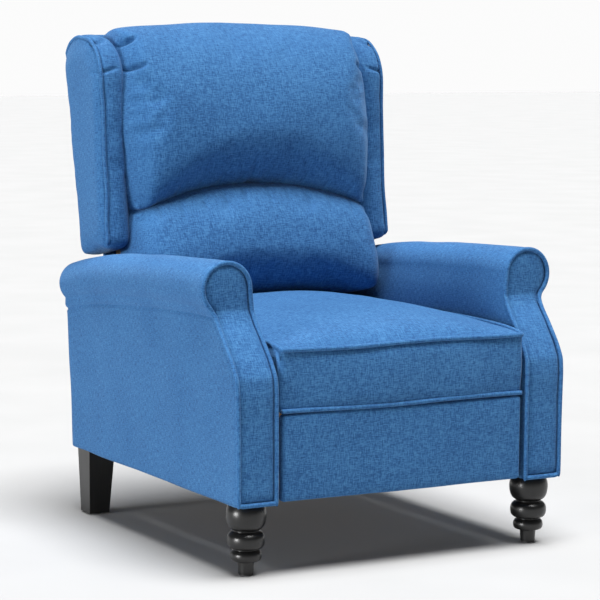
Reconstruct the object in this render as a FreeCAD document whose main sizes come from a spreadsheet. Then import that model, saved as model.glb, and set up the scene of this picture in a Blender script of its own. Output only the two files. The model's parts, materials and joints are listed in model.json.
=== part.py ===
"""Push-back recliner armchair with wings, rolled arms and a hidden footrest linkage.

Frame: +Z up, the sitter faces -Y, +X is to the right of someone who looks at the chair's front.
The origin is on the floor, under the middle of the chair. Millimetres and degrees.
"Left" and "right" are those of someone who looks at the chair's front.
"""
import FreeCAD, Part
import math
import os
import re

import Sketcher

os.makedirs("parts", exist_ok=True)
doc = FreeCAD.newDocument("recliner_armchair")

# Every driving dimension has one row here. "back" is a depth behind the arms' front, "rise" is a
# height above the arms' bottom, and "short" is a distance in front of the arms' rear end.
SIZES = [
    ("arm_front_y", -407.735),
    # arms: a plywood board inside, a hardwood sill below, a padded cover outside
    ("arm_inner", 265), ("arm_thick", 80), ("arm_bottom", 132), ("arm_depth", 738),
    ("knee_rise", 228), ("neck_rise", 343), ("arm_set_back", 87), ("front_thick", 12),
    ("board_thick", 18), ("board_drop", 20), ("board_face_drop", 8), ("pad_lip", 12), ("sill_tall", 36),
    ("sill_inset", 4), ("under_inset", 2),
    ("roll_inset", 22), ("roll_radius", 49), ("roll_rise", 380),
    ("roll_middle_back", 400), ("roll_middle_radius", 46), ("roll_middle_rise", 369),
    ("roll_rear_radius", 41), ("roll_rear_rise", 331), ("soft_gap", 0.3), ("arm_end_gap", 15),
    # legs
    ("leg_inset", 40), ("front_leg_back", 45), ("glide_tall", 3), ("glide_radius", 12.5),
    ("foot_radius", 14.5), ("foot_top", 24), ("low_ring_radius", 28.4), ("low_ring_top", 48),
    ("low_neck_radius", 22), ("high_ring_radius", 34.4), ("high_ring_top", 81),
    ("high_neck_radius", 23.5), ("bulb_radius", 37), ("leg_cap_radius", 30.5),
    ("rear_leg_shift", 5), ("rear_leg_short", 58), ("rear_leg_top", 56), ("rear_leg_foot", 43),
    ("rear_foot_out", 3), ("bolt_radius", 4), ("bolt_reach", 33), ("bolt_clear", 0.1),
    # cross rails of the base
    ("mid_rail_lead", 148), ("mid_rail_deep", 40), ("mid_rail_tall", 28),
    ("rear_rail_short", 60), ("rear_rail_deep", 22),
    ("cross_rail_tall", 40), ("rear_panel_thick", 8), ("rear_panel_rise", 173),
    # steel mechanism: base rails, swing links, seat plates
    ("base_rail_start", 120), ("base_rail_short", 78), ("base_rail_tall", 44), ("steel", 3),
    ("link_gap", 0.5), ("eye_radius", 12), ("pin_radius", 4), ("pin_clear", 0.1),
    ("open_clear", 0.5), ("head_radius", 7), ("swing_gap", 1),
    ("swing_length", 100), ("swing_rest", 140), ("swing_rise", 40),
    ("front_swing_back", 225), ("rear_swing_short", 190), ("tube_radius", 9),
    ("plate_gap", 15), ("plate_nose_back", 58), ("plate_step_back", 150),
    ("plate_low_rise", 88), ("plate_nose_rise", 108), ("plate_top_rise", 198),
    # seat
    ("rail_rise", 168), ("rail_tall", 40), ("rail_thick", 25), ("rail_step", 4),
    ("front_rail_back", 20), ("rear_rail_face_short", 153), ("spring_count", 4),
    ("spring_wire", 1.8), ("spring_half", 20), ("spring_pitch", 24),
    ("seat_front_back", 2), ("seat_wrap", 16), ("seat_low_rise", 161), ("seat_edge_rise", 276),
    ("seat_crown_rise", 320), ("seat_rear_short", 160),
    ("seat_front_round", 12), ("seat_slope_deep", 110), ("seat_slope_drop", 12),
    ("seat_rear_run", 30), ("seat_rear_dip", 8), ("seat_rear_round", 40),
    # footrest linkage, seen from the side with "along" pointing forward
    ("first_pivot_back", 80), ("first_pivot_rise", 126), ("drive_length", 185),
    ("drive_rest", -160), ("tail_length", 90), ("reach_length", 222), ("reach_angle", 10),
    ("ear_along", 2.9), ("ear_drop", 29.9), ("tie_length", 174.9), ("tie_rest", 16.0),
    ("tie_hole", 9.5), ("tie_eye", 13), ("crank_along", 95), ("crank_drop", 25),
    ("lug_back", 63.4), ("lug_up", 36.7),
    # footrest panel
    ("footrest_side_gap", 8), ("footrest_low_rise", 2), ("footrest_tall", 148),
    ("footrest_soft", 20), ("footrest_board", 13), ("footrest_inset", 4),
    ("bracket_flange", 30), ("bracket_gap", 0.6),
    # back: laid out along a line that leans back; "start" is a distance up that line
    ("lean", 11.8), ("back_foot_short", 53), ("back_foot_rise", 178), ("back_length", 638),
    ("back_panel", 12), ("back_panel_start", 30), ("stile_deep", 45),
    ("stile_wide", 28), ("stile_start", 40), ("top_rail_tall", 50), ("bottom_rail_tall", 60),
    ("web_tall", 50), ("web_thick", 2), ("web_pitch", 90), ("web_count", 5), ("web_start", 130),
    ("hinge_short", 78), ("hinge_rise", 168), ("hinge_strap", 150), ("hinge_turn", 97.6),
    # wings
    ("wing_thick", 60), ("wing_board", 15), ("wing_block_start", 250), ("wing_block_tall", 60),
    ("wing_foot_short", 144), ("wing_foot_rise", 409), ("wing_heel_rise", 383),
    ("wing_brow_short", 117), ("wing_brow_rise", 757), ("wing_crest_short", 58),
    ("wing_crest_rise", 825), ("wing_top_rise", 832), ("wing_nape_rise", 772), ("wing_inset", 10),
    ("wing_brow_run", 22), ("wing_brow_climb", 40), ("wing_top_run", 65),
    ("wing_nape_run", 27), ("wing_nape_climb", 41),
    # back cushions
    ("cushion_side_gap", 7), ("lumbar_low_rise", 330), ("lumbar_top_rise", 514),
    ("lumbar_front_short", 232), ("head_low_rise", 518), ("head_top_rise", 848),
    ("head_front_short", 178),
    ("lumbar_low_round", 14), ("lumbar_belly_rise", 58), ("lumbar_chest_rise", 133),
    ("lumbar_top_run", 54), ("lumbar_top_drop", 6),
    ("head_low_round", 12), ("head_belly_rise", 50), ("head_brow_run", 18), ("head_brow_rise", 200),
    ("head_crown_run", 72), ("head_crown_drop", 31), ("head_top_run", 130), ("head_rear_drop", 14),
]

# Sizes that follow from the ones above.
DERIVED = {
    "arm_outer": "arm_inner + arm_thick", "sill_wide": "arm_thick - board_thick - pad_lip",
    "roll_middle_height": "arm_bottom + roll_middle_rise", "roll_x": "arm_outer - roll_inset",
    "arm_knee": "arm_bottom + knee_rise", "arm_neck": "arm_bottom + neck_rise",
    "roll_height": "arm_bottom + roll_rise", "roll_rear_height": "arm_bottom + roll_rear_rise",
    "front_leg_x": "arm_inner + leg_inset", "rear_leg_x": "front_leg_x + rear_leg_shift",
    "rear_leg_back": "arm_depth - rear_leg_short",
    "rear_rail_back": "arm_depth - rear_rail_short",
    "rear_panel_top": "arm_bottom + rear_panel_rise",
    "base_rail_end": "arm_depth - base_rail_short",
    "swing_pivot_height": "arm_bottom + swing_rise",
    "base_rail_low": "swing_pivot_height - base_rail_tall * 0.5",
    "rear_swing_back": "arm_depth - rear_swing_short",
    "mid_rail_back": "rear_swing_back - mid_rail_lead",
    "plate_outer": "arm_inner - plate_gap", "plate_low": "arm_bottom + plate_low_rise",
    "plate_nose_low": "arm_bottom + plate_nose_rise", "plate_top": "arm_bottom + plate_top_rise",
    "rail_low": "arm_bottom + rail_rise", "rear_rail_face": "arm_depth - rear_rail_face_short",
    "seat_half": "plate_outer", "seat_low": "arm_bottom + seat_low_rise",
    "seat_edge": "arm_bottom + seat_edge_rise", "seat_crown": "arm_bottom + seat_crown_rise",
    "seat_rear_back": "arm_depth - seat_rear_short",
    "first_pivot_height": "arm_bottom + first_pivot_rise",
    "footrest_half": "plate_outer - footrest_side_gap",
    "footrest_low": "arm_bottom + footrest_low_rise",
    "back_foot_back": "arm_depth - back_foot_short",
    "back_foot_height": "arm_bottom + back_foot_rise", "back_half": "arm_inner - link_gap",
    "hinge_back": "arm_depth - hinge_short", "hinge_height": "arm_bottom + hinge_rise",
    "wing_outer": "arm_inner + wing_thick", "cushion_half": "arm_inner - cushion_side_gap",
}

for row, (alias, number) in enumerate(SIZES, 1):
    sheet_row = str(row)
    if row == 1:
        sheet = doc.addObject("Spreadsheet::Sheet", "sizes")
    sheet.set("A" + sheet_row, alias)
    sheet.set("B" + sheet_row, str(number))
    sheet.setAlias("B" + sheet_row, alias)
doc.recompute()

NAMES = {alias for alias, number in SIZES} | set(DERIVED)
FORWARD = FreeCAD.Rotation(FreeCAD.Vector(0, 0, 1), 180)
SIDES = (("left", -1), ("right", 1))
made = []


def size(name):
    """The number behind a name: a cell of the sheet, or what follows from some cells."""
    return value(DERIVED[name]) if name in DERIVED else float(sheet.get(name))


def value(text):
    """The number of an expression made of names, numbers, * + and -."""
    total = 0.0
    for sign, term in re.findall(r"([+-]?)\s*([^+-]+)", str(text)):
        product = -1.0 if sign == "-" else 1.0
        for factor in term.split("*"):
            factor = factor.strip()
            product *= size(factor) if factor in NAMES else float(factor)
        total += product
    return total


def bound(text):
    """The same expression with every name bound to its cell or cells."""
    def cell(found):
        name = found.group(0)
        if name in DERIVED:
            return "(" + bound(DERIVED[name]) + ")"
        return "sizes." + name if name in NAMES else name
    return re.sub(r"[a-z_]+", cell, str(text))


def back(text):
    """A Y coordinate, from a depth behind the arms' front."""
    return "arm_front_y + " + str(text)


def keep(thing, label):
    """Name a finished sub-part and remember it for the export."""
    thing.Label = label
    made.append(thing)
    return thing


def box(name, low, span):
    """An upright block from its lowest corner and its three sizes."""
    block = doc.addObject("Part::Box", name)
    for side, text in zip(("Length", "Width", "Height"), span):
        block.setExpression(side, bound(text))
    for axis, text in zip("xyz", low):
        block.setExpression("Placement.Base." + axis, bound(text))
    return block


def leaning_box(name, left, along, front, span):
    """A block in the leaning back: "along" runs up the back, "front" lies ahead of its rear face."""
    block = doc.addObject("Part::Box", name)
    for side, text in zip(("Length", "Width", "Height"), span):
        block.setExpression(side, bound(text))
    along, front = "(%s)" % bound(along), "(%s)" % bound(front)
    lean = "sizes.lean"
    place_y = "%s + %s * sin(%s) - %s * cos(%s)" % (bound(back("back_foot_back")), along, lean, front, lean)
    place_z = "%s + %s * cos(%s) + %s * sin(%s)" % (bound("back_foot_height"), along, lean, front, lean)
    block.setExpression("Placement", "placement(vector(%s; %s; %s); rotation(vector(1; 0; 0); -%s))"
                        % (bound(left), place_y, place_z, lean))
    return block


def cylinder(name, radius, length, spot, axis="z"):
    """A round bar that starts at a spot and runs along +X, +Y or +Z."""
    bar = doc.addObject("Part::Cylinder", name)
    bar.setExpression("Radius", bound(radius))
    bar.setExpression("Height", bound(length))
    turns = {"x": "rotation(vector(0; 1; 0); 90)", "y": "rotation(vector(1; 0; 0); -90)",
             "z": "rotation(vector(1; 0; 0); 0)"}
    bar.setExpression("Placement", "placement(vector(%s; %s; %s); %s)"
                      % (*[bound(text) for text in spot], turns[axis]))
    return bar


def join(name, things):
    """Pieces that are one solid, or a group of identical fasteners."""
    whole = doc.addObject("Part::MultiFuse", name)
    whole.Shapes = things
    return whole


def group(name, things):
    """Identical separate solids in one node."""
    whole = doc.addObject("Part::Compound", name)
    whole.Links = things
    return whole


def cut(name, base, tool):
    """One piece less another."""
    rest = doc.addObject("Part::Cut", name)
    rest.Base, rest.Tool = base, tool
    return rest


def common(name, first, second):
    """What two pieces share."""
    shared = doc.addObject("Part::MultiCommon", name)
    shared.Shapes = [first, second]
    return shared


def body_plane(body, role):
    """One of a body's own origin planes."""
    return next(feature for feature in body.Origin.OriginFeatures if feature.Role == role)


def new_sketch(body, role, name, offset="0"):
    """An empty sketch on one of the body's planes, raised by an offset."""
    sketch = body.newObject("Sketcher::SketchObject", name)
    sketch.AttachmentSupport = [(body_plane(body, role), "")]
    sketch.MapMode = "FlatFace"
    sketch.setExpression("AttachmentOffset.Base.z", bound(offset))
    return sketch


def fix_point(sketch, edge, end, across, up):
    """Bind one end of a sketch edge to two expressions."""
    for kind, text in (("DistanceX", across), ("DistanceY", up)):
        index = sketch.addConstraint(Sketcher.Constraint(kind, -1, 1, edge, end, value(text)))
        sketch.setExpression("Constraints[%d]" % index, bound(text))


def polygon(sketch, corners):
    """A closed outline whose every corner is bound to the sheet."""
    count = len(corners)
    spots = [FreeCAD.Vector(value(across), value(up), 0) for across, up in corners]
    for index in range(count):
        sketch.addGeometry(Part.LineSegment(spots[index], spots[(index + 1) % count]))
    for index in range(count):
        sketch.addConstraint(Sketcher.Constraint("Coincident", index, 2, (index + 1) % count, 1))
    for index, (across, up) in enumerate(corners):
        fix_point(sketch, index, 1, across, up)


def pad(body, sketch, length):
    """Raise a sketch into a solid, along its normal."""
    raised = body.newObject("PartDesign::Pad", sketch.Name + "_pad")
    raised.Profile = sketch
    raised.setExpression("Length", bound(length))
    sketch.Visibility = False
    return raised


def side_body(name, corners, start, width, holes=()):
    """A body drawn from the side (back, height), from X = start, with round holes through it."""
    body = doc.addObject("PartDesign::Body", name)
    sketch = new_sketch(body, "YZ_Plane", name + "_outline", start)
    polygon(sketch, [(back(depth), height) for depth, height in corners])
    pad(body, sketch, width)
    if holes:
        drill(body, name, [(back(depth), height, radius) for depth, height, radius in holes], start, width)
    return body


def drill(body, name, holes, start, width):
    """Pocket round holes through a side body."""
    sketch = new_sketch(body, "YZ_Plane", name + "_holes", start)
    for index, (across, up, radius) in enumerate(holes):
        middle = FreeCAD.Vector(value(across), value(up), 0)
        sketch.addGeometry(Part.Circle(middle, FreeCAD.Vector(0, 0, 1), value(radius)))
        fix_point(sketch, index, 3, across, up)
        ring = sketch.addConstraint(Sketcher.Constraint("Radius", index, value(radius)))
        sketch.setExpression("Constraints[%d]" % ring, bound(radius))
    pocket = body.newObject("PartDesign::Pocket", name + "_drilled")
    pocket.Profile = sketch
    pocket.Reversed = True
    pocket.setExpression("Length", bound(width))


def strip(body, name, start, angle, length, radius, width):
    """A flat bar with round ends, from a start point, at an angle in the link's own plane."""
    sketch = new_sketch(body, "YZ_Plane", name)
    sketch.setExpression("AttachmentOffset.Base.x", bound(start[0]))
    sketch.setExpression("AttachmentOffset.Base.y", bound(start[1]))
    sketch.AttachmentOffset = FreeCAD.Placement(
        FreeCAD.Vector(value(start[0]), value(start[1]), 0),
        FreeCAD.Rotation(FreeCAD.Vector(0, 0, 1), angle))
    far, half, up = length, value(radius), FreeCAD.Vector(0, 0, 1)
    near_end = Part.Circle(FreeCAD.Vector(0, 0, 0), up, half)
    far_end = Part.Circle(FreeCAD.Vector(far, 0, 0), up, half)
    sketch.addGeometry(Part.ArcOfCircle(near_end, math.pi / 2, 1.5 * math.pi))
    sketch.addGeometry(Part.ArcOfCircle(far_end, -math.pi / 2, math.pi / 2))
    sketch.addGeometry(Part.LineSegment(FreeCAD.Vector(0, half, 0), FreeCAD.Vector(far, half, 0)))
    sketch.addGeometry(Part.LineSegment(FreeCAD.Vector(0, -half, 0), FreeCAD.Vector(far, -half, 0)))
    for first, first_end, second, second_end in ((0, 1, 2, 1), (1, 2, 2, 2), (0, 2, 3, 1), (1, 1, 3, 2)):
        sketch.addConstraint(Sketcher.Constraint("Tangent", first, first_end, second, second_end))
    sketch.addConstraint(Sketcher.Constraint("Coincident", 0, 3, -1, 1))
    sketch.addConstraint(Sketcher.Constraint("PointOnObject", 1, 3, -1))
    sketch.addConstraint(Sketcher.Constraint("DistanceX", -1, 1, 1, 3, far))
    ring = sketch.addConstraint(Sketcher.Constraint("Radius", 0, half))
    sketch.setExpression("Constraints[%d]" % ring, bound(radius))
    return pad(body, sketch, width)


def link(name, strips, holes, radius="eye_radius"):
    """A flat steel link in its own frame: first pivot at the origin, "along" on +Y, up on +Z."""
    body = doc.addObject("PartDesign::Body", name)
    for number, (start, angle, length) in enumerate(strips):
        strip(body, "%s_bar%d" % (name, number), start, angle, length, radius, "steel")
    drill(body, name, holes, "0", "steel")
    return body


def stand(body, inner_x, depth, height, angle):
    """Put a link at its pivot, turned up from straight ahead by an angle."""
    # the link is drawn with "along" on +Y, so half a turn about Z makes it point at -Y
    turn = FreeCAD.Rotation(FreeCAD.Vector(-1, 0, 0), angle) * FORWARD
    body.Placement = FreeCAD.Placement(
        FreeCAD.Vector(inner_x + size("steel"), size("arm_front_y") + depth, height), turn)
    return body


def link_pair(name, layer, strips, holes, pivot, angle, radius="eye_radius"):
    """The same link on both sides of the chair, in one of the mechanism's layers."""
    pair = []
    for side, sign in SIDES:
        body = link("%s_%s" % (name, side), strips, holes, radius)
        inner = layer_x(layer) if sign > 0 else -layer_x(layer) - size("steel")
        pair.append(stand(body, inner, pivot[0], pivot[1], angle))
    return keep(group(name + "s", pair), name + "s")


def layer_x(layer):
    """Inner face of a mechanism layer: 0 is the seat plate, and each next layer lies further in."""
    return size("plate_outer") - size("steel") - layer * (size("steel") + size("link_gap"))


def turned(along, up, angle):
    """Turn an (along, up) pair by an angle in degrees."""
    turn = math.radians(angle)
    return (along * math.cos(turn) - up * math.sin(turn), along * math.sin(turn) + up * math.cos(turn))


def stepped(spot, offset):
    """A (depth, height) spot moved by an (along, up) offset; along reduces the depth."""
    return (spot[0] - offset[0], spot[1] + offset[1])


def pins(name, spots):
    """Round pins along X on both sides: each spot has its depth, height, inner X, outer X, radius."""
    bars = []
    for number, (depth, height, inner, outer, radius) in enumerate(spots):
        for side, sign in SIDES:
            start = inner if sign > 0 else -outer
            bar = doc.addObject("Part::Cylinder", "%s%d_%s" % (name, number, side))
            bar.setExpression("Radius", bound(radius))
            bar.Height = outer - inner
            bar.Placement = FreeCAD.Placement(
                FreeCAD.Vector(start, size("arm_front_y") + depth, height),
                FreeCAD.Rotation(FreeCAD.Vector(0, 1, 0), 90))
            bars.append(bar)
    return bars


# ---- arms -----------------------------------------------------------------------------------------

def arm_board(side, sign):
    """Plywood board that carries an arm and the mechanism."""
    start = "arm_inner" if sign > 0 else "-1 * arm_inner - board_thick"
    corners = [("front_thick + sill_inset", "arm_bottom + under_inset"),
               ("front_thick + sill_inset", "arm_knee - board_face_drop"),
               ("front_thick + sill_inset + arm_set_back", "arm_neck - board_drop"),
               ("arm_depth - arm_end_gap", "roll_rear_height - roll_rear_radius - sill_inset"),
               ("arm_depth - arm_end_gap", "arm_bottom + under_inset")]
    keep(side_body("arm_board_" + side, corners, start, "board_thick"), "arm_board_" + side)


def arm_sill(side, sign):
    """Hardwood sill under an arm, drilled for the two leg bolts."""
    inner = "arm_inner + board_thick"
    start = inner if sign > 0 else "-1 * arm_inner - board_thick - sill_wide"
    beam = box("sill_beam_" + side, (start, back("front_thick + sill_inset"), "arm_bottom + under_inset"),
               ("sill_wide", "arm_depth - arm_end_gap - front_thick - sill_inset", "sill_tall - under_inset"))
    holes = [cylinder("sill_hole_%s%d" % (side, number), "bolt_radius + bolt_clear", "bolt_reach + 1",
                      ("%d * front_leg_x" % sign, back(depth), "arm_bottom"))
             for number, depth in enumerate(("front_leg_back", "rear_leg_back"))]
    keep(cut("arm_sill_" + side, beam, group("sill_holes_" + side, holes)), "arm_sill_" + side)


def roll(side, sign):
    """The rolled top of an arm: a loft that gets lower and thinner towards the rear."""
    body = doc.addObject("PartDesign::Body", "roll_" + side)
    rings = []
    stations = (("arm_set_back + front_thick + soft_gap", "roll_height", "roll_radius"),
                ("roll_middle_back", "roll_middle_height", "roll_middle_radius"),
                ("arm_depth", "roll_rear_height", "roll_rear_radius"))
    for number, (depth, height, radius) in enumerate(stations):
        sketch = new_sketch(body, "XZ_Plane", "roll_ring%d_%s" % (number, side))
        sketch.setExpression("AttachmentOffset.Base.z", "-(" + bound(back(depth)) + ")")
        middle = FreeCAD.Vector(sign * size("roll_x"), value(height), 0)
        sketch.addGeometry(Part.Circle(middle, FreeCAD.Vector(0, 0, 1), value(radius)))
        fix_point(sketch, 0, 3, "%d * roll_x" % sign, height)
        ring = sketch.addConstraint(Sketcher.Constraint("Radius", 0, value(radius)))
        sketch.setExpression("Constraints[%d]" % ring, bound(radius))
        rings.append(sketch)
    loft = body.newObject("PartDesign::AdditiveLoft", "roll_loft_" + side)
    loft.Profile = rings[0]
    loft.Sections = rings[1:]
    return body


def arm_pad(side, sign):
    """Foam and cover outside the board: a slab under the roll, hollow where the sill lies."""
    inner = "arm_inner + board_thick + soft_gap"
    outer_start = inner if sign > 0 else "-1 * arm_outer"
    front = "front_thick + soft_gap"
    slab = side_body("pad_slab_" + side,
                     [(front, "arm_bottom"), (front, "arm_knee"), (front + " + arm_set_back", "arm_neck"),
                      (front + " + arm_set_back", "roll_height"), ("arm_depth", "roll_rear_height"),
                      ("arm_depth - arm_end_gap + 1", "arm_bottom")],
                     outer_start, "arm_outer - arm_inner - board_thick - soft_gap")
    pocket_start = "arm_inner" if sign > 0 else "-1 * arm_inner - board_thick - sill_wide - soft_gap"
    pocket = box("pad_pocket_" + side, (pocket_start, back("0"), "arm_bottom - 1"),
                 ("board_thick + sill_wide + soft_gap", "arm_depth - arm_end_gap + soft_gap",
                  "sill_tall + 1 + soft_gap"))
    trimmed = cut("pad_trimmed_" + side, slab, pocket)
    keep(join("arm_pad_" + side, [trimmed, roll(side, sign)]), "arm_pad_" + side)


def arm_front(side, sign):
    """Padded face of an arm: an S-shaped band cut to the arm's outline."""
    start = "arm_inner" if sign > 0 else "-1 * roll_x - roll_radius"
    far = "arm_set_back + front_thick"
    top = "roll_height + roll_radius + 1"
    band = side_body("front_band_" + side,
                     [("0", "arm_bottom"), ("0", "arm_knee"), ("arm_set_back", "arm_neck"),
                      ("arm_set_back", top), (far, top), (far, "arm_neck"),
                      ("front_thick", "arm_knee"), ("front_thick", "arm_bottom")],
                     start, "roll_x + roll_radius - arm_inner")
    slab_start = "arm_inner" if sign > 0 else "-1 * arm_outer"
    slab = box("front_slab_" + side, (slab_start, back("0"), "arm_bottom"),
               ("arm_outer - arm_inner", far, "roll_height - arm_bottom"))
    disc = cylinder("front_disc_" + side, "roll_radius", far,
                    ("%d * roll_x" % sign, back("0"), "roll_height"), "y")
    outline = join("front_outline_" + side, [slab, disc])
    keep(common("arm_front_" + side, band, outline), "arm_front_" + side)


# ---- legs -----------------------------------------------------------------------------------------

def turn_outline(sketch, steps):
    """A closed outline to revolve, of straight edges and arcs, every corner bound to the sheet."""
    count = len(steps)
    spots = [FreeCAD.Vector(value(radius), value(height), 0) for radius, height, bulge in steps]
    bulges = []
    for index, (radius, height, bulge) in enumerate(steps):
        first, last = spots[index], spots[(index + 1) % count]
        if bulge is None:
            sketch.addGeometry(Part.LineSegment(first, last))
            continue
        halfway = "%s * 0.5 + %s * 0.5" % (height, steps[index + 1][1])
        middle = FreeCAD.Vector(value(bulge), value(halfway), 0)
        sketch.addGeometry(Part.Arc(first, middle, last))
        bulges.append((index, bulge, halfway, middle))
    for index, (radius, height, bulge) in enumerate(steps):
        ends = [1, 2] if is_upward_arc(sketch, index, spots[index]) else [2, 1]
        following = (index + 1) % count
        start = 1 if is_upward_arc(sketch, following, spots[following]) else 2
        sketch.addConstraint(Sketcher.Constraint("Coincident", index, ends[1], following, start))
        fix_point(sketch, index, ends[0], radius, height)
    for index, bulge, halfway, middle in bulges:
        mark = sketch.addGeometry(Part.Point(middle), True)
        sketch.addConstraint(Sketcher.Constraint("PointOnObject", mark, 1, index))
        fix_point(sketch, mark, 1, bulge, halfway)


def is_upward_arc(sketch, index, spot):
    """Whether an edge's own first point is the corner that it starts from."""
    return sketch.getPoint(index, 1).distanceToPoint(spot) < 0.001


def front_leg(side, sign):
    """Turned leg: a foot, two rings and a bulb, revolved as one piece."""
    body = doc.addObject("PartDesign::Body", "turned_" + side)
    sketch = new_sketch(body, "XZ_Plane", "turning_" + side)
    # (radius, height, bulge): the edge that starts here is an arc through the bulge's radius, halfway up
    steps = [("foot_radius", "glide_tall", None), ("foot_radius + 1", "foot_top", None),
             ("low_neck_radius", "foot_top", "low_ring_radius"),
             ("low_neck_radius", "low_ring_top", "high_ring_radius"),
             ("high_neck_radius", "high_ring_top", "bulb_radius"),
             ("leg_cap_radius", "arm_bottom", None), ("0", "arm_bottom", None),
             ("0", "glide_tall", None)]
    turn_outline(sketch, steps)
    whirl = body.newObject("PartDesign::Revolution", "leg_turn_" + side)
    whirl.Profile = sketch
    whirl.ReferenceAxis = (sketch, ["V_Axis"])
    whirl.Angle = 360
    body.setExpression("Placement.Base.x", bound("%d * front_leg_x" % sign))
    body.setExpression("Placement.Base.y", bound(back("front_leg_back")))
    hole = leg_hole("front", side, sign, "front_leg_back")
    keep(cut("front_leg_" + side, body, hole), "front_leg_" + side)


def leg_hole(which, side, sign, depth):
    """Blind hole for a hanger bolt in the top of a leg."""
    return cylinder("%s_leg_hole_%s" % (which, side), "bolt_radius + bolt_clear", "bolt_reach + 2",
                    ("%d * front_leg_x" % sign, back(depth), "arm_bottom - bolt_reach - 1"))


def rear_leg(side, sign):
    """Square tapered leg."""
    wedge = doc.addObject("Part::Wedge", "taper_" + side)
    half_top, half_foot = "rear_leg_top * 0.5", "rear_leg_foot * 0.5"
    ends = {"Xmin": "-1 * " + half_foot + " + %d * rear_foot_out" % sign,
            "Xmax": half_foot + " + %d * rear_foot_out" % sign,
            "Zmin": "-1 * " + half_foot, "Zmax": half_foot, "Ymin": "glide_tall", "Ymax": "arm_bottom",
            "X2min": "-1 * " + half_top, "X2max": half_top, "Z2min": "-1 * " + half_top, "Z2max": half_top}
    for name, text in ends.items():
        wedge.setExpression(name, bound(text))
    wedge.setExpression("Placement", "placement(vector(%s; %s; 0); rotation(vector(1; 0; 0); 90))"
                        % (bound("%d * rear_leg_x" % sign), bound(back("rear_leg_back"))))
    hole = leg_hole("rear", side, sign, "rear_leg_back")
    keep(cut("rear_leg_" + side, wedge, hole), "rear_leg_" + side)


def leg_hardware():
    """Four hanger bolts and four plastic glides."""
    bolts, glides = [], []
    for side, sign in SIDES:
        for which, depth in (("front", "front_leg_back"), ("rear", "rear_leg_back")):
            bolts.append(cylinder("bolt_%s_%s" % (which, side), "bolt_radius", "bolt_reach * 2 - 2",
                                  ("%d * front_leg_x" % sign, back(depth), "arm_bottom - bolt_reach + 1")))
            foot_x = "%d * front_leg_x" % sign
            if which == "rear":
                foot_x = "%d * rear_leg_x + %d * rear_foot_out" % (sign, sign)
            glides.append(cylinder("glide_%s_%s" % (which, side), "glide_radius", "glide_tall",
                                   (foot_x, back(depth), "0")))
    keep(group("leg_bolts", bolts), "leg_bolts")
    keep(group("leg_glides", glides), "leg_glides")


# ---- base -----------------------------------------------------------------------------------------

def base_rails():
    """Cross rails, rear panel and the two steel rails that carry the swing links."""
    half = "arm_inner - steel"
    keep(box("base_mid_rail", ("-1 * arm_inner + steel", back("mid_rail_back"), "arm_bottom + sill_inset"),
             (half + " + " + half, "mid_rail_deep", "mid_rail_tall")), "base_mid_rail")
    keep(box("base_rear_rail", ("-1 * arm_inner", back("rear_rail_back"), "arm_bottom + sill_inset"),
             ("arm_inner * 2", "rear_rail_deep", "cross_rail_tall")), "base_rear_rail")
    keep(box("base_rear_panel", ("-1 * arm_inner + 1", back("rear_rail_back + rear_rail_deep"),
                                 "arm_bottom + under_inset"),
             ("arm_inner * 2 - 2", "rear_panel_thick", "rear_panel_top - arm_bottom - under_inset")),
         "base_rear_panel")
    high = "base_rail_low + base_rail_tall"
    corners = [("base_rail_start", "base_rail_low"), ("base_rail_start", high),
               ("base_rail_end", high), ("base_rail_end", "base_rail_low")]
    holes = [("front_swing_back", "swing_pivot_height", "pin_radius + pin_clear"),
             ("rear_swing_back", "swing_pivot_height", "pin_radius + pin_clear")]
    for side, sign in SIDES:
        start = "arm_inner - steel" if sign > 0 else "-1 * arm_inner"
        keep(side_body("base_rail_" + side, corners, start, "steel", holes), "base_rail_" + side)


def swing_links():
    """Front and rear links that carry the seat; the rear pair is joined by a tube."""
    length, rest = size("swing_length"), size("swing_rest")
    height = size("swing_pivot_height")
    bars = [(("0", "0"), 0, length)]
    for which in ("front", "rear"):
        top_clear = "pin_clear" if which == "front" else "open_clear"
        holes = [("0", "0", "pin_radius + pin_clear"), ("swing_length", "0", "pin_radius + " + top_clear)]
        pair = []
        for side, sign in SIDES:
            body = link("%s_swing_%s" % (which, side), bars, holes)
            inner = swing_x() if sign > 0 else -swing_x() - size("steel")
            pair.append(stand(body, inner, size(which + "_swing_back"), height, rest))
        keep(group(which + "_swing_links", pair), which + "_swing_links")
    middle = stepped((size("rear_swing_back"), height), turned(length / 2, 0, rest))
    tube = doc.addObject("Part::Cylinder", "torque_tube")
    tube.setExpression("Radius", "sizes.tube_radius")
    tube.Height = 2 * swing_x()
    tube.Placement = FreeCAD.Placement(
        FreeCAD.Vector(-swing_x(), size("arm_front_y") + middle[0], middle[1]),
        FreeCAD.Rotation(FreeCAD.Vector(0, 1, 0), 90))
    keep(tube, "torque_tube")


def swing_x():
    """Inner face of the swing links, which run just inside the base rails."""
    return size("arm_inner") - size("steel") - size("swing_gap") - size("steel")


def base_pins():
    """Pins fixed in the base rails, on which the swing links turn."""
    outer, inner = size("arm_inner"), swing_x() - size("swing_gap")
    spots = [(size(which), size("swing_pivot_height"), inner, outer, "pin_radius")
             for which in ("front_swing_back", "rear_swing_back")]
    keep(group("base_pins", pins("base_pin", spots)), "base_pins")


# ---- seat -----------------------------------------------------------------------------------------

def seat_top_pivots():
    """Where the swing links meet the seat plates."""
    offset = turned(size("swing_length"), 0, size("swing_rest"))
    height = size("swing_pivot_height")
    return [stepped((size(which), height), offset) for which in ("front_swing_back", "rear_swing_back")]


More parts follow.
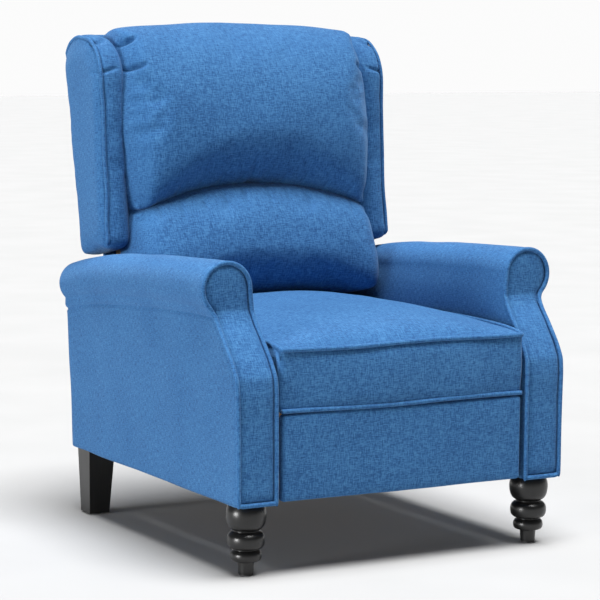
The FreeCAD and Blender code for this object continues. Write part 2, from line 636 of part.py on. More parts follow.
def linkage():
    """The closed footrest linkage's pivots, as (depth, height) spots."""
    first = (size("first_pivot_back"), size("first_pivot_height"))
    reach_angle, drive_rest = size("reach_angle"), size("drive_rest")
    second = stepped(first, turned(-size("tail_length"), 0, reach_angle))
    knee = stepped(first, turned(size("drive_length"), 0, drive_rest))
    tail = stepped(knee, turned(-size("tail_length"), 0, reach_angle))
    nose = stepped(knee, turned(size("reach_length"), 0, reach_angle))
    ear = stepped(knee, turned(size("ear_along"), -size("ear_drop"), drive_rest))
    lug = stepped(nose, (-size("lug_back"), size("lug_up")))
    return {"first": first, "second": second, "knee": knee, "tail": tail, "nose": nose,
            "ear": ear, "lug": lug}


def seat_plates():
    """Steel side plates that carry the seat, the footrest linkage and the back hinge."""
    corners = [("plate_nose_back", "plate_nose_low"), ("plate_nose_back", "plate_top"),
               ("rear_rail_face", "plate_top"), ("hinge_back - eye_radius * 2", "hinge_height"),
               ("hinge_back - eye_radius * 0.6", "hinge_height + eye_radius"),
               ("hinge_back + eye_radius * 0.6", "hinge_height + eye_radius"),
               ("hinge_back + eye_radius * 1.2", "hinge_height"),
               ("hinge_back + eye_radius * 0.6", "hinge_height - eye_radius"),
               ("hinge_back - eye_radius", "plate_low"), ("plate_step_back", "plate_low")]
    for side, sign in SIDES:
        start = "plate_outer - steel" if sign > 0 else "-1 * plate_outer"
        body = side_body("seat_plate_" + side, corners, start, "steel")
        spots = seat_top_pivots() + [linkage()["first"], linkage()["second"],
                                     (size("hinge_back"), size("hinge_height"))]
        holes = [("arm_front_y + %.6f" % depth, "%.6f" % height, "pin_radius + pin_clear")
                 for depth, height in spots]
        drill(body, "seat_plate_" + side, holes, start, "steel")
        keep(body, "seat_plate_" + side)


def seat_pins():
    """Pins fixed in the seat plates: four for the swing links, four for the footrest linkage."""
    steel, outer = size("steel"), size("plate_outer")
    spots = []
    for depth, height in seat_top_pivots():
        spots.append((depth, height, outer - steel, swing_x() + steel, "pin_radius"))
    pivots = linkage()
    spots.append((*pivots["first"], layer_x(3), outer, "pin_radius"))
    spots.append((*pivots["second"], layer_x(1), outer, "pin_radius"))
    shafts = pins("seat_pin", spots)
    # a shoulder keeps each swing link away from its seat plate
    shoulders = pins("seat_shoulder", [(depth, height, outer + 0.2, swing_x() - 0.5, "head_radius")
                                       for depth, height in seat_top_pivots()])
    keep(join("seat_pins", shafts + shoulders), "seat_pins")


def seat_frame():
    """Hardwood rails of the seat."""
    for side, sign in SIDES:
        start = "plate_outer - steel - rail_thick" if sign > 0 else "-1 * plate_outer + steel"
        keep(box("seat_side_rail_" + side, (start, back("front_rail_back"), "rail_low"),
                 ("rail_thick", "rear_rail_face - front_rail_back", "rail_tall")),
             "seat_side_rail_" + side)
    inner = "plate_outer - steel - rail_thick"
    rails = (("seat_front_rail", "front_rail_back"), ("seat_rear_rail", "rear_rail_face - rail_thick"))
    for name, depth in rails:
        keep(box(name, ("-1 * plate_outer + steel + rail_thick", back(depth), "rail_low"),
                 (inner + " + " + inner, "rail_thick", "rail_tall - rail_step")), name)


def seat_springs():
    """Sinuous wire springs from the front rail to the rear rail, resting on both."""
    wire, half, pitch = size("spring_wire"), size("spring_half"), size("spring_pitch")
    start = size("front_rail_back") + size("rail_thick") / 2
    end = size("rear_rail_face") - size("rail_thick") / 2
    height = size("rail_low") + size("rail_tall") - size("rail_step") + wire
    turns = int((end - start - pitch) // pitch)
    count = int(size("spring_count"))
    spacing = 2 * (size("plate_outer") - size("steel") - size("rail_thick")) / count
    radius = pitch / 2
    coils = []
    for number in range(count):
        middle = (number - (count - 1) / 2) * spacing
        edges, flip = [], 1
        spot = FreeCAD.Vector(middle - half + radius, size("arm_front_y") + start, height)
        for turn in range(turns):
            far = FreeCAD.Vector(middle + flip * (half - radius), spot.y, height)
            edges.append(Part.LineSegment(spot, far).toShape())
            peak = FreeCAD.Vector(far.x + flip * radius, far.y + radius, height)
            spot = FreeCAD.Vector(far.x, far.y + pitch, height)
            edges.append(Part.Arc(far, peak, spot).toShape())
            flip = -flip
        far = FreeCAD.Vector(middle + flip * (half - radius), spot.y, height)
        edges.append(Part.LineSegment(spot, far).toShape())
        path = Part.Wire(edges)
        ring = Part.Wire(Part.Circle(edges[0].Vertexes[0].Point, FreeCAD.Vector(1, 0, 0), wire).toShape())
        coils.append(path.makePipeShell([ring], True, True))
    springs = doc.addObject("Part::Feature", "seat_springs")
    springs.Shape = Part.makeCompound(coils)
    springs.Placement = FreeCAD.Placement()
    keep(springs, "seat_springs")


def seat_cushion():
    """Foam cushion whose front wraps down over the front rail."""
    spring_top = "rail_low + rail_tall + soft_gap"
    corners = [("seat_front_back", "seat_low"), ("seat_front_back", "seat_edge - seat_front_round"),
               ("seat_front_back + seat_front_round", "seat_edge"),
               ("seat_front_back + seat_slope_deep", "seat_crown - seat_slope_drop"),
               ("seat_rear_back * 0.5", "seat_crown"),
               ("seat_rear_back - seat_rear_run", "seat_crown - seat_rear_dip"),
               ("seat_rear_back", "seat_crown - seat_rear_round"), ("seat_rear_back", spring_top),
               ("seat_front_back + seat_wrap", spring_top), ("seat_front_back + seat_wrap", "seat_low")]
    keep(side_body("seat_cushion", corners, "-1 * seat_half", "seat_half * 2"), "seat_cushion")


# ---- footrest -------------------------------------------------------------------------------------

def footrest_links():
    """Drive, guide, reach and tie links of the footrest, one pair of each."""
    spots = linkage()
    drive, tail, reach = size("drive_length"), size("tail_length"), size("reach_length")
    along, drop = size("ear_along"), size("ear_drop")
    run, fine = "pin_radius + pin_clear", "pin_clear"
    ear_angle = math.degrees(math.atan2(-drop, along))
    link_pair("drive_link", 3,
              [(("0", "0"), 0, drive), (("drive_length", "0"), ear_angle, math.hypot(along, drop))],
              [("0", "0", run), ("drive_length", "0", run),
               ("drive_length + ear_along", "-1 * ear_drop", run)],
              spots["first"], size("drive_rest"))
    crank, dip = size("crank_along"), size("crank_drop")
    link_pair("guide_link", 1,
              [(("0", "0"), math.degrees(math.atan2(-dip, crank)), math.hypot(crank, dip)),
               (("crank_along", "-1 * crank_drop"), math.degrees(math.atan2(dip, drive - crank)),
                math.hypot(drive - crank, dip))],
              [("0", "0", run), ("drive_length", "0", "pin_radius + open_clear")],
              spots["second"], size("drive_rest"))
    link_pair("reach_link", 2, [(("0", "0"), 0, tail + reach)],
              [("0", "0", run), ("tail_length", "0", run), ("tail_length + reach_length", "0", run)],
              spots["tail"], size("reach_angle"))
    link_pair("tie_link", 4, [(("0", "0"), 0, size("tie_length"))],
              [("0", "0", run), ("tie_length", "0", "tie_hole")],
              spots["ear"], size("tie_rest"), "tie_eye")


def footrest_pins():
    """Pins of the footrest linkage, each fixed in one link."""
    spots, steel = linkage(), size("steel")
    keep(group("drive_pins", pins("drive_pin", [
        (*spots["knee"], layer_x(3), layer_x(2) + steel, "pin_radius"),
        (*spots["ear"], layer_x(4), layer_x(3) + steel, "pin_radius")])), "drive_pins")
    keep(group("guide_pins", pins("guide_pin", [
        (*spots["tail"], layer_x(2), layer_x(1) + steel, "pin_radius")])), "guide_pins")
    keep(group("reach_pins", pins("reach_pin", [
        (*spots["nose"], layer_x(5), layer_x(2) + steel, "pin_radius")])), "reach_pins")
    keep(group("bracket_pins", pins("bracket_pin", [
        (*spots["lug"], layer_x(5), layer_x(4) + steel, "pin_radius")])), "bracket_pins")


def footrest_brackets():
    """Steel brackets that carry the footrest board, each with a flange behind it."""
    spots, steel = linkage(), size("steel")
    nose, lug = spots["nose"], spots["lug"]
    rear = size("footrest_soft") + size("footrest_board") + size("bracket_gap")
    eye = size("eye_radius")
    # the plate reaches forward beside the board so that it holds the nose pin
    corners = [(nose[0] - eye, nose[1] - eye), (nose[0] - eye, nose[1] + eye),
               (rear, lug[1] + eye / 3), (lug[0] - eye / 3, lug[1] + eye),
               (lug[0] + eye, lug[1] + eye / 2), (lug[0] + eye, lug[1] - eye * 2 / 3),
               (nose[0] + eye * 1.5, nose[1] - eye), (nose[0] + eye, nose[1] - eye * 2.5)]
    holes = [(*nose, "pin_radius + pin_clear"), (*lug, "pin_radius + pin_clear")]
    pair = []
    for side, sign in SIDES:
        inner = layer_x(5) if sign > 0 else -layer_x(5) - steel
        named = [("%.6f" % depth, "%.6f" % height) for depth, height in corners]
        drilled = [("%.6f" % depth, "%.6f" % height, radius) for depth, height, radius in holes]
        plate = side_body("bracket_plate_" + side, named, "%.6f" % inner, "steel", drilled)
        flange_x = layer_x(5) - size("bracket_flange") if sign > 0 else -layer_x(5) - steel
        flange = box("bracket_flange_" + side,
                     ("%.6f" % flange_x, back("footrest_soft + footrest_board + bracket_gap"),
                      "%.6f" % (nose[1] + 2 * size("pin_radius"))),
                     ("bracket_flange + steel", "steel", "%.6f" % (lug[1] - nose[1])))
        pair.append(join("bracket_" + side, [plate, flange]))
    keep(group("footrest_brackets", pair), "footrest_brackets")


def footrest_panel():
    """Board and padded face of the footrest, upright when closed."""
    board_half = layer_x(5) - size("link_gap")
    board = box("footrest_board", ("-%.6f" % board_half, back("footrest_soft + soft_gap"),
                                   "footrest_low + footrest_inset"),
                ("%.6f" % (2 * board_half), "footrest_board",
                 "footrest_tall - footrest_inset * 2"))
    keep(board, "footrest_board")
    keep(box("footrest_pad", ("-1 * footrest_half", back("0"), "footrest_low"),
             ("footrest_half * 2", "footrest_soft", "footrest_tall")), "footrest_pad")


# ---- back -----------------------------------------------------------------------------------------

def back_frame():
    """Stiles, rails, wing blocks, webbing and rear panel of the leaning back."""
    stile_outer = "plate_outer"
    front = "back_panel + stile_deep"
    stile_length = "back_length - top_rail_tall - stile_start"
    for side, sign in SIDES:
        start = stile_outer + " - stile_wide" if sign > 0 else "-1 * " + stile_outer
        keep(leaning_box("back_stile_" + side, start, "stile_start", front,
                         ("stile_wide", "stile_deep", stile_length)), "back_stile_" + side)
    keep(leaning_box("back_top_rail", "-1 * arm_inner", "back_length - top_rail_tall", front,
                     ("arm_inner * 2", "stile_deep", "top_rail_tall")), "back_top_rail")
    inner = "plate_outer - stile_wide"
    keep(leaning_box("back_bottom_rail", "-1 * plate_outer + stile_wide", "stile_start", front,
                     (inner + " + " + inner, "stile_deep", "bottom_rail_tall")), "back_bottom_rail")
    keep(leaning_box("back_outer_panel", "-1 * back_half", "back_panel_start", "back_panel",
                     ("back_half * 2", "back_panel", "back_length - back_panel_start")),
         "back_outer_panel")
    blocks = []
    for side, sign in SIDES:
        start = "plate_outer" if sign > 0 else "-1 * arm_inner"
        for number in range(2):
            blocks.append(leaning_box("block_%s%d" % (side, number), start,
                                      "wing_block_start + %d * wing_block_tall" % (3 * number), front,
                                      ("plate_gap", "stile_deep", "wing_block_tall")))
    keep(group("wing_blocks", blocks), "wing_blocks")
    straps = [leaning_box("strap%d" % number, "-1 * plate_outer + 4",
                          "web_start + %d * web_pitch" % number, front + " + web_thick",
                          ("plate_outer * 2 - 8", "web_thick", "web_tall"))
              for number in range(int(size("web_count")))]
    keep(group("back_webbing", straps), "back_webbing")


def back_hinges():
    """Steel straps on the stiles' outer faces, and the pins that join them to the seat plates."""
    pair = []
    spot = (size("hinge_back"), size("hinge_height"))
    for side, sign in SIDES:
        body = link("back_strap_" + side, [(("0", "0"), 0, size("hinge_strap"))],
                    [("0", "0", "pin_radius + pin_clear")])
        inner = size("plate_outer") + size("link_gap")
        if sign < 0:
            inner = -inner - size("steel")
        pair.append(stand(body, inner, spot[0], spot[1], size("hinge_turn")))
    keep(group("back_hinges", pair), "back_hinges")
    outer = size("plate_outer") + size("link_gap") + size("steel")
    keep(group("back_hinge_pins", pins("hinge_pin", [
        (*spot, size("plate_outer") - size("steel"), outer, "pin_radius")])), "back_hinge_pins")


def rear_line(height, front):
    """Depth of the leaning plane that lies "front" ahead of the back's rear face, at a height."""
    lean = math.radians(size("lean"))
    climb = value(height) - size("back_foot_height")
    return "%.6f" % (size("back_foot_back") + climb * math.tan(lean) - value(front) / math.cos(lean))


def wing_outline(inset):
    """Corners of a wing seen from the side, moved in by an inset."""
    heel, nape = "arm_bottom + wing_heel_rise + " + inset, "arm_bottom + wing_nape_rise - " + inset
    foot, brow = "arm_depth - wing_foot_short + " + inset, "arm_depth - wing_brow_short + " + inset
    crest = "arm_depth - wing_crest_short"
    return [(rear_line(heel, inset), heel), (foot, "arm_bottom + wing_foot_rise + " + inset),
            (brow, "arm_bottom + wing_brow_rise"),
            (brow + " + wing_brow_run", "arm_bottom + wing_brow_rise + wing_brow_climb"),
            (crest, "arm_bottom + wing_crest_rise - " + inset),
            (crest + " + wing_top_run", "arm_bottom + wing_top_rise - " + inset),
            (rear_line(nape, "wing_nape_run + " + inset), nape + " + wing_nape_climb"),
            (rear_line(nape, inset), nape)]


def wings():
    """Plywood wing boards with padded covers outside them."""
    for side, sign in SIDES:
        start = "arm_inner" if sign > 0 else "-1 * arm_inner - wing_board"
        keep(side_body("wing_board_" + side, wing_outline("wing_inset"), start, "wing_board"),
             "wing_board_" + side)
        start = "arm_inner + wing_board + soft_gap" if sign > 0 else "-1 * wing_outer"
        keep(side_body("wing_pad_" + side, wing_outline("0"), start,
                       "wing_thick - wing_board - soft_gap"), "wing_pad_" + side)


def back_cushions():
    """Lumbar and head cushions, which fill the back between the wings and lie on the webbing."""
    carrier = "back_panel + stile_deep + web_thick + soft_gap"
    low, top = "arm_bottom + lumbar_low_rise", "arm_bottom + lumbar_top_rise"
    front = "arm_depth - lumbar_front_short"
    lumbar = [(front + " + lumbar_low_round", low), (front, low + " + lumbar_belly_rise"),
              (front + " + lumbar_low_round", low + " + lumbar_chest_rise"),
              (front + " + lumbar_top_run", top + " - lumbar_top_drop"),
              (rear_line(top, carrier), top), (rear_line(low, carrier), low)]
    low, top = "arm_bottom + head_low_rise", "arm_bottom + head_top_rise"
    front = "arm_depth - head_front_short"
    nape = top + " - head_rear_drop"
    head = [(front + " + head_low_round", low), (front, low + " + head_belly_rise"),
            (front + " + head_brow_run", low + " + head_brow_rise"),
            (front + " + head_crown_run", top + " - head_crown_drop"), (front + " + head_top_run", top),
            (rear_line(nape, carrier), nape), (rear_line(low, carrier), low)]
    keep(side_body("lumbar_cushion", lumbar, "-1 * cushion_half", "cushion_half * 2"), "lumbar_cushion")
    keep(side_body("head_cushion", head, "-1 * cushion_half", "cushion_half * 2"), "head_cushion")


for side, sign in SIDES:
    arm_board(side, sign)
    arm_sill(side, sign)
    arm_pad(side, sign)
    arm_front(side, sign)
    front_leg(side, sign)
    rear_leg(side, sign)
leg_hardware()
base_rails()
base_pins()
swing_links()
seat_plates()
seat_pins()
seat_frame()
seat_springs()
seat_cushion()
footrest_links()
footrest_pins()
footrest_brackets()
footrest_panel()
back_frame()
back_hinges()
wings()
back_cushions()

doc.recompute()
faults = [thing.Name for thing in doc.Objects if "Invalid" in thing.State or "Error" in thing.State]
faults += [thing.Label for thing in made if thing.Shape.isNull() or not thing.Shape.isValid()]
if faults:
    raise RuntimeError("not built: " + ", ".join(faults))

whole = FreeCAD.BoundBox()
for thing in made:
    thing.Shape.exportStep(os.path.join("parts", thing.Label + ".step"))
    whole.add(thing.Shape.BoundBox)
print(len(made), "nodes", whole)
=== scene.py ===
"""Wing recliner in blue linen-look cloth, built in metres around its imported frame.

Every shape is worked out from the frame's own boxes. "Depth" is a distance behind the arms' front,
"across" is X, and "left" and "right" are those of someone who looks at the chair's front.
"""
import json
import math

import bmesh
import bpy
import numpy as np
from mathutils import Matrix, Vector, noise
from mathutils.kdtree import KDTree


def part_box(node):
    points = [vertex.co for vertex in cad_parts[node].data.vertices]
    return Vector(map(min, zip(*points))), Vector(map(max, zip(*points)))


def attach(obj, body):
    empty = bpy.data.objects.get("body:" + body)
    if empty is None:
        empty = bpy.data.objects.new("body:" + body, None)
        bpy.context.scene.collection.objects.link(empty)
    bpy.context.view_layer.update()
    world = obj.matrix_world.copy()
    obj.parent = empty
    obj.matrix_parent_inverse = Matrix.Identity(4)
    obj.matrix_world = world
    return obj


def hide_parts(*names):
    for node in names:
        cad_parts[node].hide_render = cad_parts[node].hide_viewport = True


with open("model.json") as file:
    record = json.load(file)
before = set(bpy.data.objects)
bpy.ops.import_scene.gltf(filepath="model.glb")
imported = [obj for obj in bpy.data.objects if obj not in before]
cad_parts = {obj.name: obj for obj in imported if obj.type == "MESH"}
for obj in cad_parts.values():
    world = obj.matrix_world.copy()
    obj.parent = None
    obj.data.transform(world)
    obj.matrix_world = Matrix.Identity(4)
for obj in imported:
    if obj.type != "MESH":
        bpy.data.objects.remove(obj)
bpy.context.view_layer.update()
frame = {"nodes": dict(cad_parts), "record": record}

MM = 0.001


class Extent:
    """A CAD node's box at rest."""

    def __init__(self, node):
        low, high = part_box(node)
        self.x0, self.y0, self.z0 = low
        self.x1, self.y1, self.z1 = high


ARM = Extent("arm_pad_right")
FACE = Extent("arm_front_right")
BOARD = Extent("arm_board_right")
SEAT = Extent("seat_cushion")
FOOTREST = Extent("footrest_pad")
WING = Extent("wing_pad_right")
WING_BOARD = Extent("wing_board_right")
HEAD = Extent("head_cushion")
LUMBAR = Extent("lumbar_cushion")
SHELL = Extent("back_outer_panel")
REAR_PANEL = Extent("base_rear_panel")
FRONT_LEG = Extent("front_leg_right")

FRONT = FACE.y0
ARM_BOTTOM = FACE.z0
ARM_INNER = BOARD.x0
ARM_SIDE = 80 * MM
LEAN = math.radians(11.8)


# ---- curves ---------------------------------------------------------------------------------------

def ease(at, knots, values):
    """Smooth curve through the knots that never overshoots them."""
    knots, values, at = np.asarray(knots, float), np.asarray(values, float), np.asarray(at, float)
    steps = np.diff(knots)
    slopes = np.diff(values) / steps
    tangents = np.zeros_like(values)
    tangents[0], tangents[-1] = slopes[0], slopes[-1]
    before, after = slopes[:-1], slopes[1:]
    rising = before * after > 0
    heavy, light = 2 * steps[1:] + steps[:-1], steps[1:] + 2 * steps[:-1]
    safe_before, safe_after = np.where(rising, before, 1), np.where(rising, after, 1)
    mean = (heavy + light) / (heavy / safe_before + light / safe_after)
    tangents[1:-1] = np.where(rising, mean, 0)
    index = np.clip(np.searchsorted(knots, at) - 1, 0, len(steps) - 1)
    share = np.clip((at - knots[index]) / steps[index], 0, 1)
    width = steps[index]
    low, high = values[index], values[index + 1]
    t2, t3 = share ** 2, share ** 3
    return (low * (2 * t3 - 3 * t2 + 1) + high * (3 * t2 - 2 * t3)
            + width * (tangents[index] * (t3 - 2 * t2 + share) + tangents[index + 1] * (t3 - t2)))


def even(points, count, closed=False):
    """The same line with evenly spaced points."""
    points = np.asarray(points, float)
    if closed:
        points = np.vstack([points, points[:1]])
    lengths = np.linalg.norm(np.diff(points, axis=0), axis=1)
    along = np.concatenate([[0], np.cumsum(lengths)])
    at = np.linspace(0, along[-1], count + 1)[:-1] if closed else np.linspace(0, along[-1], count)
    return np.stack([np.interp(at, along, points[:, k]) for k in range(points.shape[1])], axis=1)


def flowing(points, count, closed=False):
    """A Catmull-Rom curve through the points, evenly spaced."""
    points = np.asarray(points, float)
    if closed:
        padded = np.vstack([points[-1:], points, points[:2]])
    else:
        padded = np.vstack([2 * points[0] - points[1], points, 2 * points[-1] - points[-2]])
    fine = []
    for index in range(1, len(padded) - 2):
        a, b, c, d = padded[index - 1:index + 3]
        t = np.linspace(0, 1, 24, endpoint=False)[:, None]
        fine.append(0.5 * (2 * b + (c - a) * t + (2 * a - 5 * b + 4 * c - d) * t ** 2
                           + (3 * b - a - 3 * c + d) * t ** 3))
    fine = np.vstack(fine if closed else fine + [points[-1:]])
    return even(fine, count, closed)


def crowded(edge_count, middle_count):
    """Shares from -1 to 1 that lie closer together near both ends."""
    return np.concatenate([np.linspace(-1, -0.9, edge_count), np.linspace(-0.9, 0.9, middle_count)[1:-1],
                           np.linspace(0.9, 1, edge_count)])


def filleted(corners, count):
    """A closed outline from (first, second, radius) corners, evenly spaced."""
    spots = []
    for index, (first, second, radius) in enumerate(corners):
        here = np.array([first, second])
        before = np.array(corners[index - 1][:2]) - here
        after = np.array(corners[(index + 1) % len(corners)][:2]) - here
        reach = min(radius, 0.45 * np.linalg.norm(before), 0.45 * np.linalg.norm(after))
        start = here + before / np.linalg.norm(before) * reach
        end = here + after / np.linalg.norm(after) * reach
        for t in np.linspace(0, 1, 9):
            spots.append(start * (1 - t) ** 2 + 2 * here * t * (1 - t) + end * t ** 2)
    return even(spots, count, closed=True)


def inward(outline):
    """Unit vectors that point into a closed outline."""
    ahead, behind = np.roll(outline, -1, axis=0), np.roll(outline, 1, axis=0)
    along = ahead - behind
    along /= np.linalg.norm(along, axis=1)[:, None] + 1e-12
    turn = np.stack([-along[:, 1], along[:, 0]], axis=1)
    area = np.sum(outline[:, 0] * ahead[:, 1] - outline[:, 1] * ahead[:, 0])
    return turn if area > 0 else -turn


# ---- meshes ---------------------------------------------------------------------------------------

def made(name, bm):
    """A smooth-shaded object from a bmesh whose normals are made to point out."""
    bmesh.ops.remove_doubles(bm, verts=bm.verts, dist=0.00002)
    bmesh.ops.recalc_face_normals(bm, faces=bm.faces)
    for face in bm.faces:
        face.smooth = True
    mesh = bpy.data.meshes.new(name)
    bm.to_mesh(mesh)
    bm.free()
    thing = bpy.data.objects.new(name, mesh)
    bpy.context.scene.collection.objects.link(thing)
    return thing


def add_grid(bm, grid, closed_rows=False, closed_columns=False):
    """Quads over a (rows, columns, 3) grid; returns the rows of vertices."""
    rows = [[bm.verts.new(point) for point in line] for line in grid]
    row_count, column_count = len(rows), len(rows[0])
    for i in range(row_count if closed_rows else row_count - 1):
        for j in range(column_count if closed_columns else column_count - 1):
            i2, j2 = (i + 1) % row_count, (j + 1) % column_count
            bm.faces.new((rows[i][j], rows[i][j2], rows[i2][j2], rows[i2][j]))
    return rows


def loft(name, rings):
    """A closed solid through closed rings of the same length, with flat caps."""
    bm = bmesh.new()
    rows = add_grid(bm, rings, closed_columns=True)
    caps = [bm.faces.new(rows[0]), bm.faces.new(rows[-1])]
    bmesh.ops.triangulate(bm, faces=caps)
    return made(name, bm)


def pillow(name, front, rear):
    """A closed form from a front and a rear grid that meet along their rim."""
    bm = bmesh.new()
    add_grid(bm, front)
    add_grid(bm, rear)
    return made(name, bm)


def tube(name, path, radius, closed=False, sides=10):
    """A round cord along a path, closed at its ends."""
    path = np.asarray(path, float)
    ahead = np.roll(path, -1, axis=0) - np.roll(path, 1, axis=0)
    if not closed:
        ahead[0], ahead[-1] = path[1] - path[0], path[-1] - path[-2]
    ahead /= np.linalg.norm(ahead, axis=1)[:, None]
    normal = np.cross(ahead[0], (0.0, 0.0, 1.0) if abs(ahead[0][2]) < 0.9 else (1.0, 0.0, 0.0))
    rings = []
    turns = np.linspace(0, 2 * math.pi, sides, endpoint=False)
    for point, direction in zip(path, ahead):
        normal = normal - direction * np.dot(normal, direction)
        normal /= np.linalg.norm(normal)
        side = np.cross(direction, normal)
        rings.append([point + radius * (math.cos(t) * normal + math.sin(t) * side) for t in turns])
    bm = bmesh.new()
    rows = add_grid(bm, rings, closed_columns=True, closed_rows=closed)
    if not closed:
        bm.faces.new(rows[0])
        bm.faces.new(rows[-1])
    return made(name, bm)


def coords(thing):
    """A mesh's points as an array."""
    flat = np.empty(len(thing.data.vertices) * 3)
    thing.data.vertices.foreach_get("co", flat)
    return flat.reshape(-1, 3)


def normals(thing):
    """A mesh's point normals as an array."""
    flat = np.empty(len(thing.data.vertices) * 3)
    thing.data.vertices.foreach_get("normal", flat)
    return flat.reshape(-1, 3)


def move_points(thing, points):
    """Puts a mesh's points somewhere else."""
    thing.data.vertices.foreach_set("co", np.asarray(points, float).ravel())
    thing.data.update()


def crumple(thing, amount, size, seed=0.0):
    """Soft unevenness of stuffed cloth, along the surface's normals."""
    shift = Vector((seed, seed * 1.7, -seed))
    points, out = coords(thing), normals(thing)
    lift = np.array([noise.noise(Vector(point) / size + shift) for point in points])
    move_points(thing, points + out * (amount * lift)[:, None])


def crease(thing, start, end, depth, width):
    """A tuck in the front of a cover between two (X, Z) points; a negative depth makes a ridge."""
    start, end = np.array(start, float), np.array(end, float)
    run = end - start
    points, out = coords(thing), normals(thing)
    seen = points[:, [0, 2]]
    share = np.clip((seen - start) @ run / (run @ run), 0, 1)
    away = np.linalg.norm(seen - (start + share[:, None] * run), axis=1)
    push = depth * np.exp(-(away / width) ** 2) * np.sin(math.pi * (0.12 + 0.76 * share))
    push *= np.clip(-out[:, 1] * 3, 0, 1)
    move_points(thing, points - out * push[:, None])


def apply_modifiers(thing):
    """Makes a mesh's modifiers permanent."""
    bpy.context.view_layer.update()
    graph = bpy.context.evaluated_depsgraph_get()
    final = bpy.data.meshes.new_from_object(thing.evaluated_get(graph))
    thing.modifiers.clear()
    thing.data = final
    for face in thing.data.polygons:
        face.use_smooth = True


def subdivide(thing):
    """Subdivision surface, made permanent."""
    thing.modifiers.new("smooth", "SUBSURF").levels = 1
    thing.modifiers["smooth"].subdivision_type = "CATMULL_CLARK"
    apply_modifiers(thing)


def evened(thing, voxel):
    """Remeshes a closed cover into even quads."""
    remesh = thing.modifiers.new("even", "REMESH")
    remesh.mode, remesh.voxel_size = "VOXEL", voxel
    apply_modifiers(thing)


STUFFING_FRAMES = 20
VOXEL = 5 * MM


def inflate(thing, pressure, cap):
    """Stuffs an even closed cover by cloth simulation; no point moves further than the cap."""
    before = coords(thing)
    cloth = thing.modifiers.new("stuff", "CLOTH")
    cloth.settings.use_pressure = True
    cloth.settings.uniform_pressure_force = pressure
    cloth.settings.quality = 4
    cloth.settings.mass = 0.3
    cloth.settings.tension_stiffness = cloth.settings.compression_stiffness = 40
    cloth.settings.bending_stiffness = 4
    cloth.settings.effector_weights.gravity = 0
    cloth.collision_settings.use_collision = False
    scene = bpy.context.scene
    for number in range(1, STUFFING_FRAMES + 1):
        scene.frame_set(number)
    apply_modifiers(thing)
    step = coords(thing) - before
    length = np.linalg.norm(step, axis=1)[:, None]
    move_points(thing, before + step * np.minimum(1, cap / np.maximum(length, 1e-9)))
    scene.frame_set(1)


def stuffed(thing, voxel, pressure, cap):
    """Even quads, stuffing, then a smooth finer mesh."""
    evened(thing, voxel)
    inflate(thing, pressure, cap)
    relax = thing.modifiers.new("relax", "SMOOTH")
    relax.factor, relax.iterations = 0.5, 10
    subdivide(thing)


def laid_on(path, thing, proud):
    """A path moved on to a cover's surface, smoothed, with both ends sunk into the cover."""
    points, out = coords(thing), normals(thing)
    tree = KDTree(len(points))
    for index, point in enumerate(points):
        tree.insert(point, index)
    tree.balance()
    nearest = [tree.find(point)[1] for point in path]
    shift = points[nearest] + out[nearest] * proud - path
    for _ in range(120):
        shift[1:-1] = (shift[:-2] + 2 * shift[1:-1] + shift[2:]) / 4
    spots = path + shift
    sink = np.linspace(9 * MM, 0, 9)[:, None]
    spots[:9] -= out[nearest[:9]] * sink
    spots[-9:] -= out[nearest[-9:]] * sink[::-1]
    return spots


def seam(thing, path, depth, width):
    """A stitched groove along a path of close points."""
    tree = KDTree(len(path))
    for index, point in enumerate(path):
        tree.insert(point, index)
    tree.balance()
    points, out = coords(thing), normals(thing)
    away = np.array([tree.find(point)[2] for point in points])
    move_points(thing, points - out * (depth * np.exp(-(away / width) ** 2))[:, None])


def mirrored(name, thing):
    """The same mesh on the other side of the chair."""
    twin = thing.copy()
    twin.name = name
    twin.data = thing.data.copy()
    twin.data.transform(Matrix.Scale(-1, 4, (1, 0, 0)))
    twin.data.flip_normals()
    bpy.context.scene.collection.objects.link(twin)
    return twin


def place(thing, body, material):
    """Finish a piece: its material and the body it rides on."""
    thing.data.materials.clear()
    thing.data.materials.append(material)
    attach(thing, body)
    return thing


# ---- materials ------------------------------------------------------------------------------------

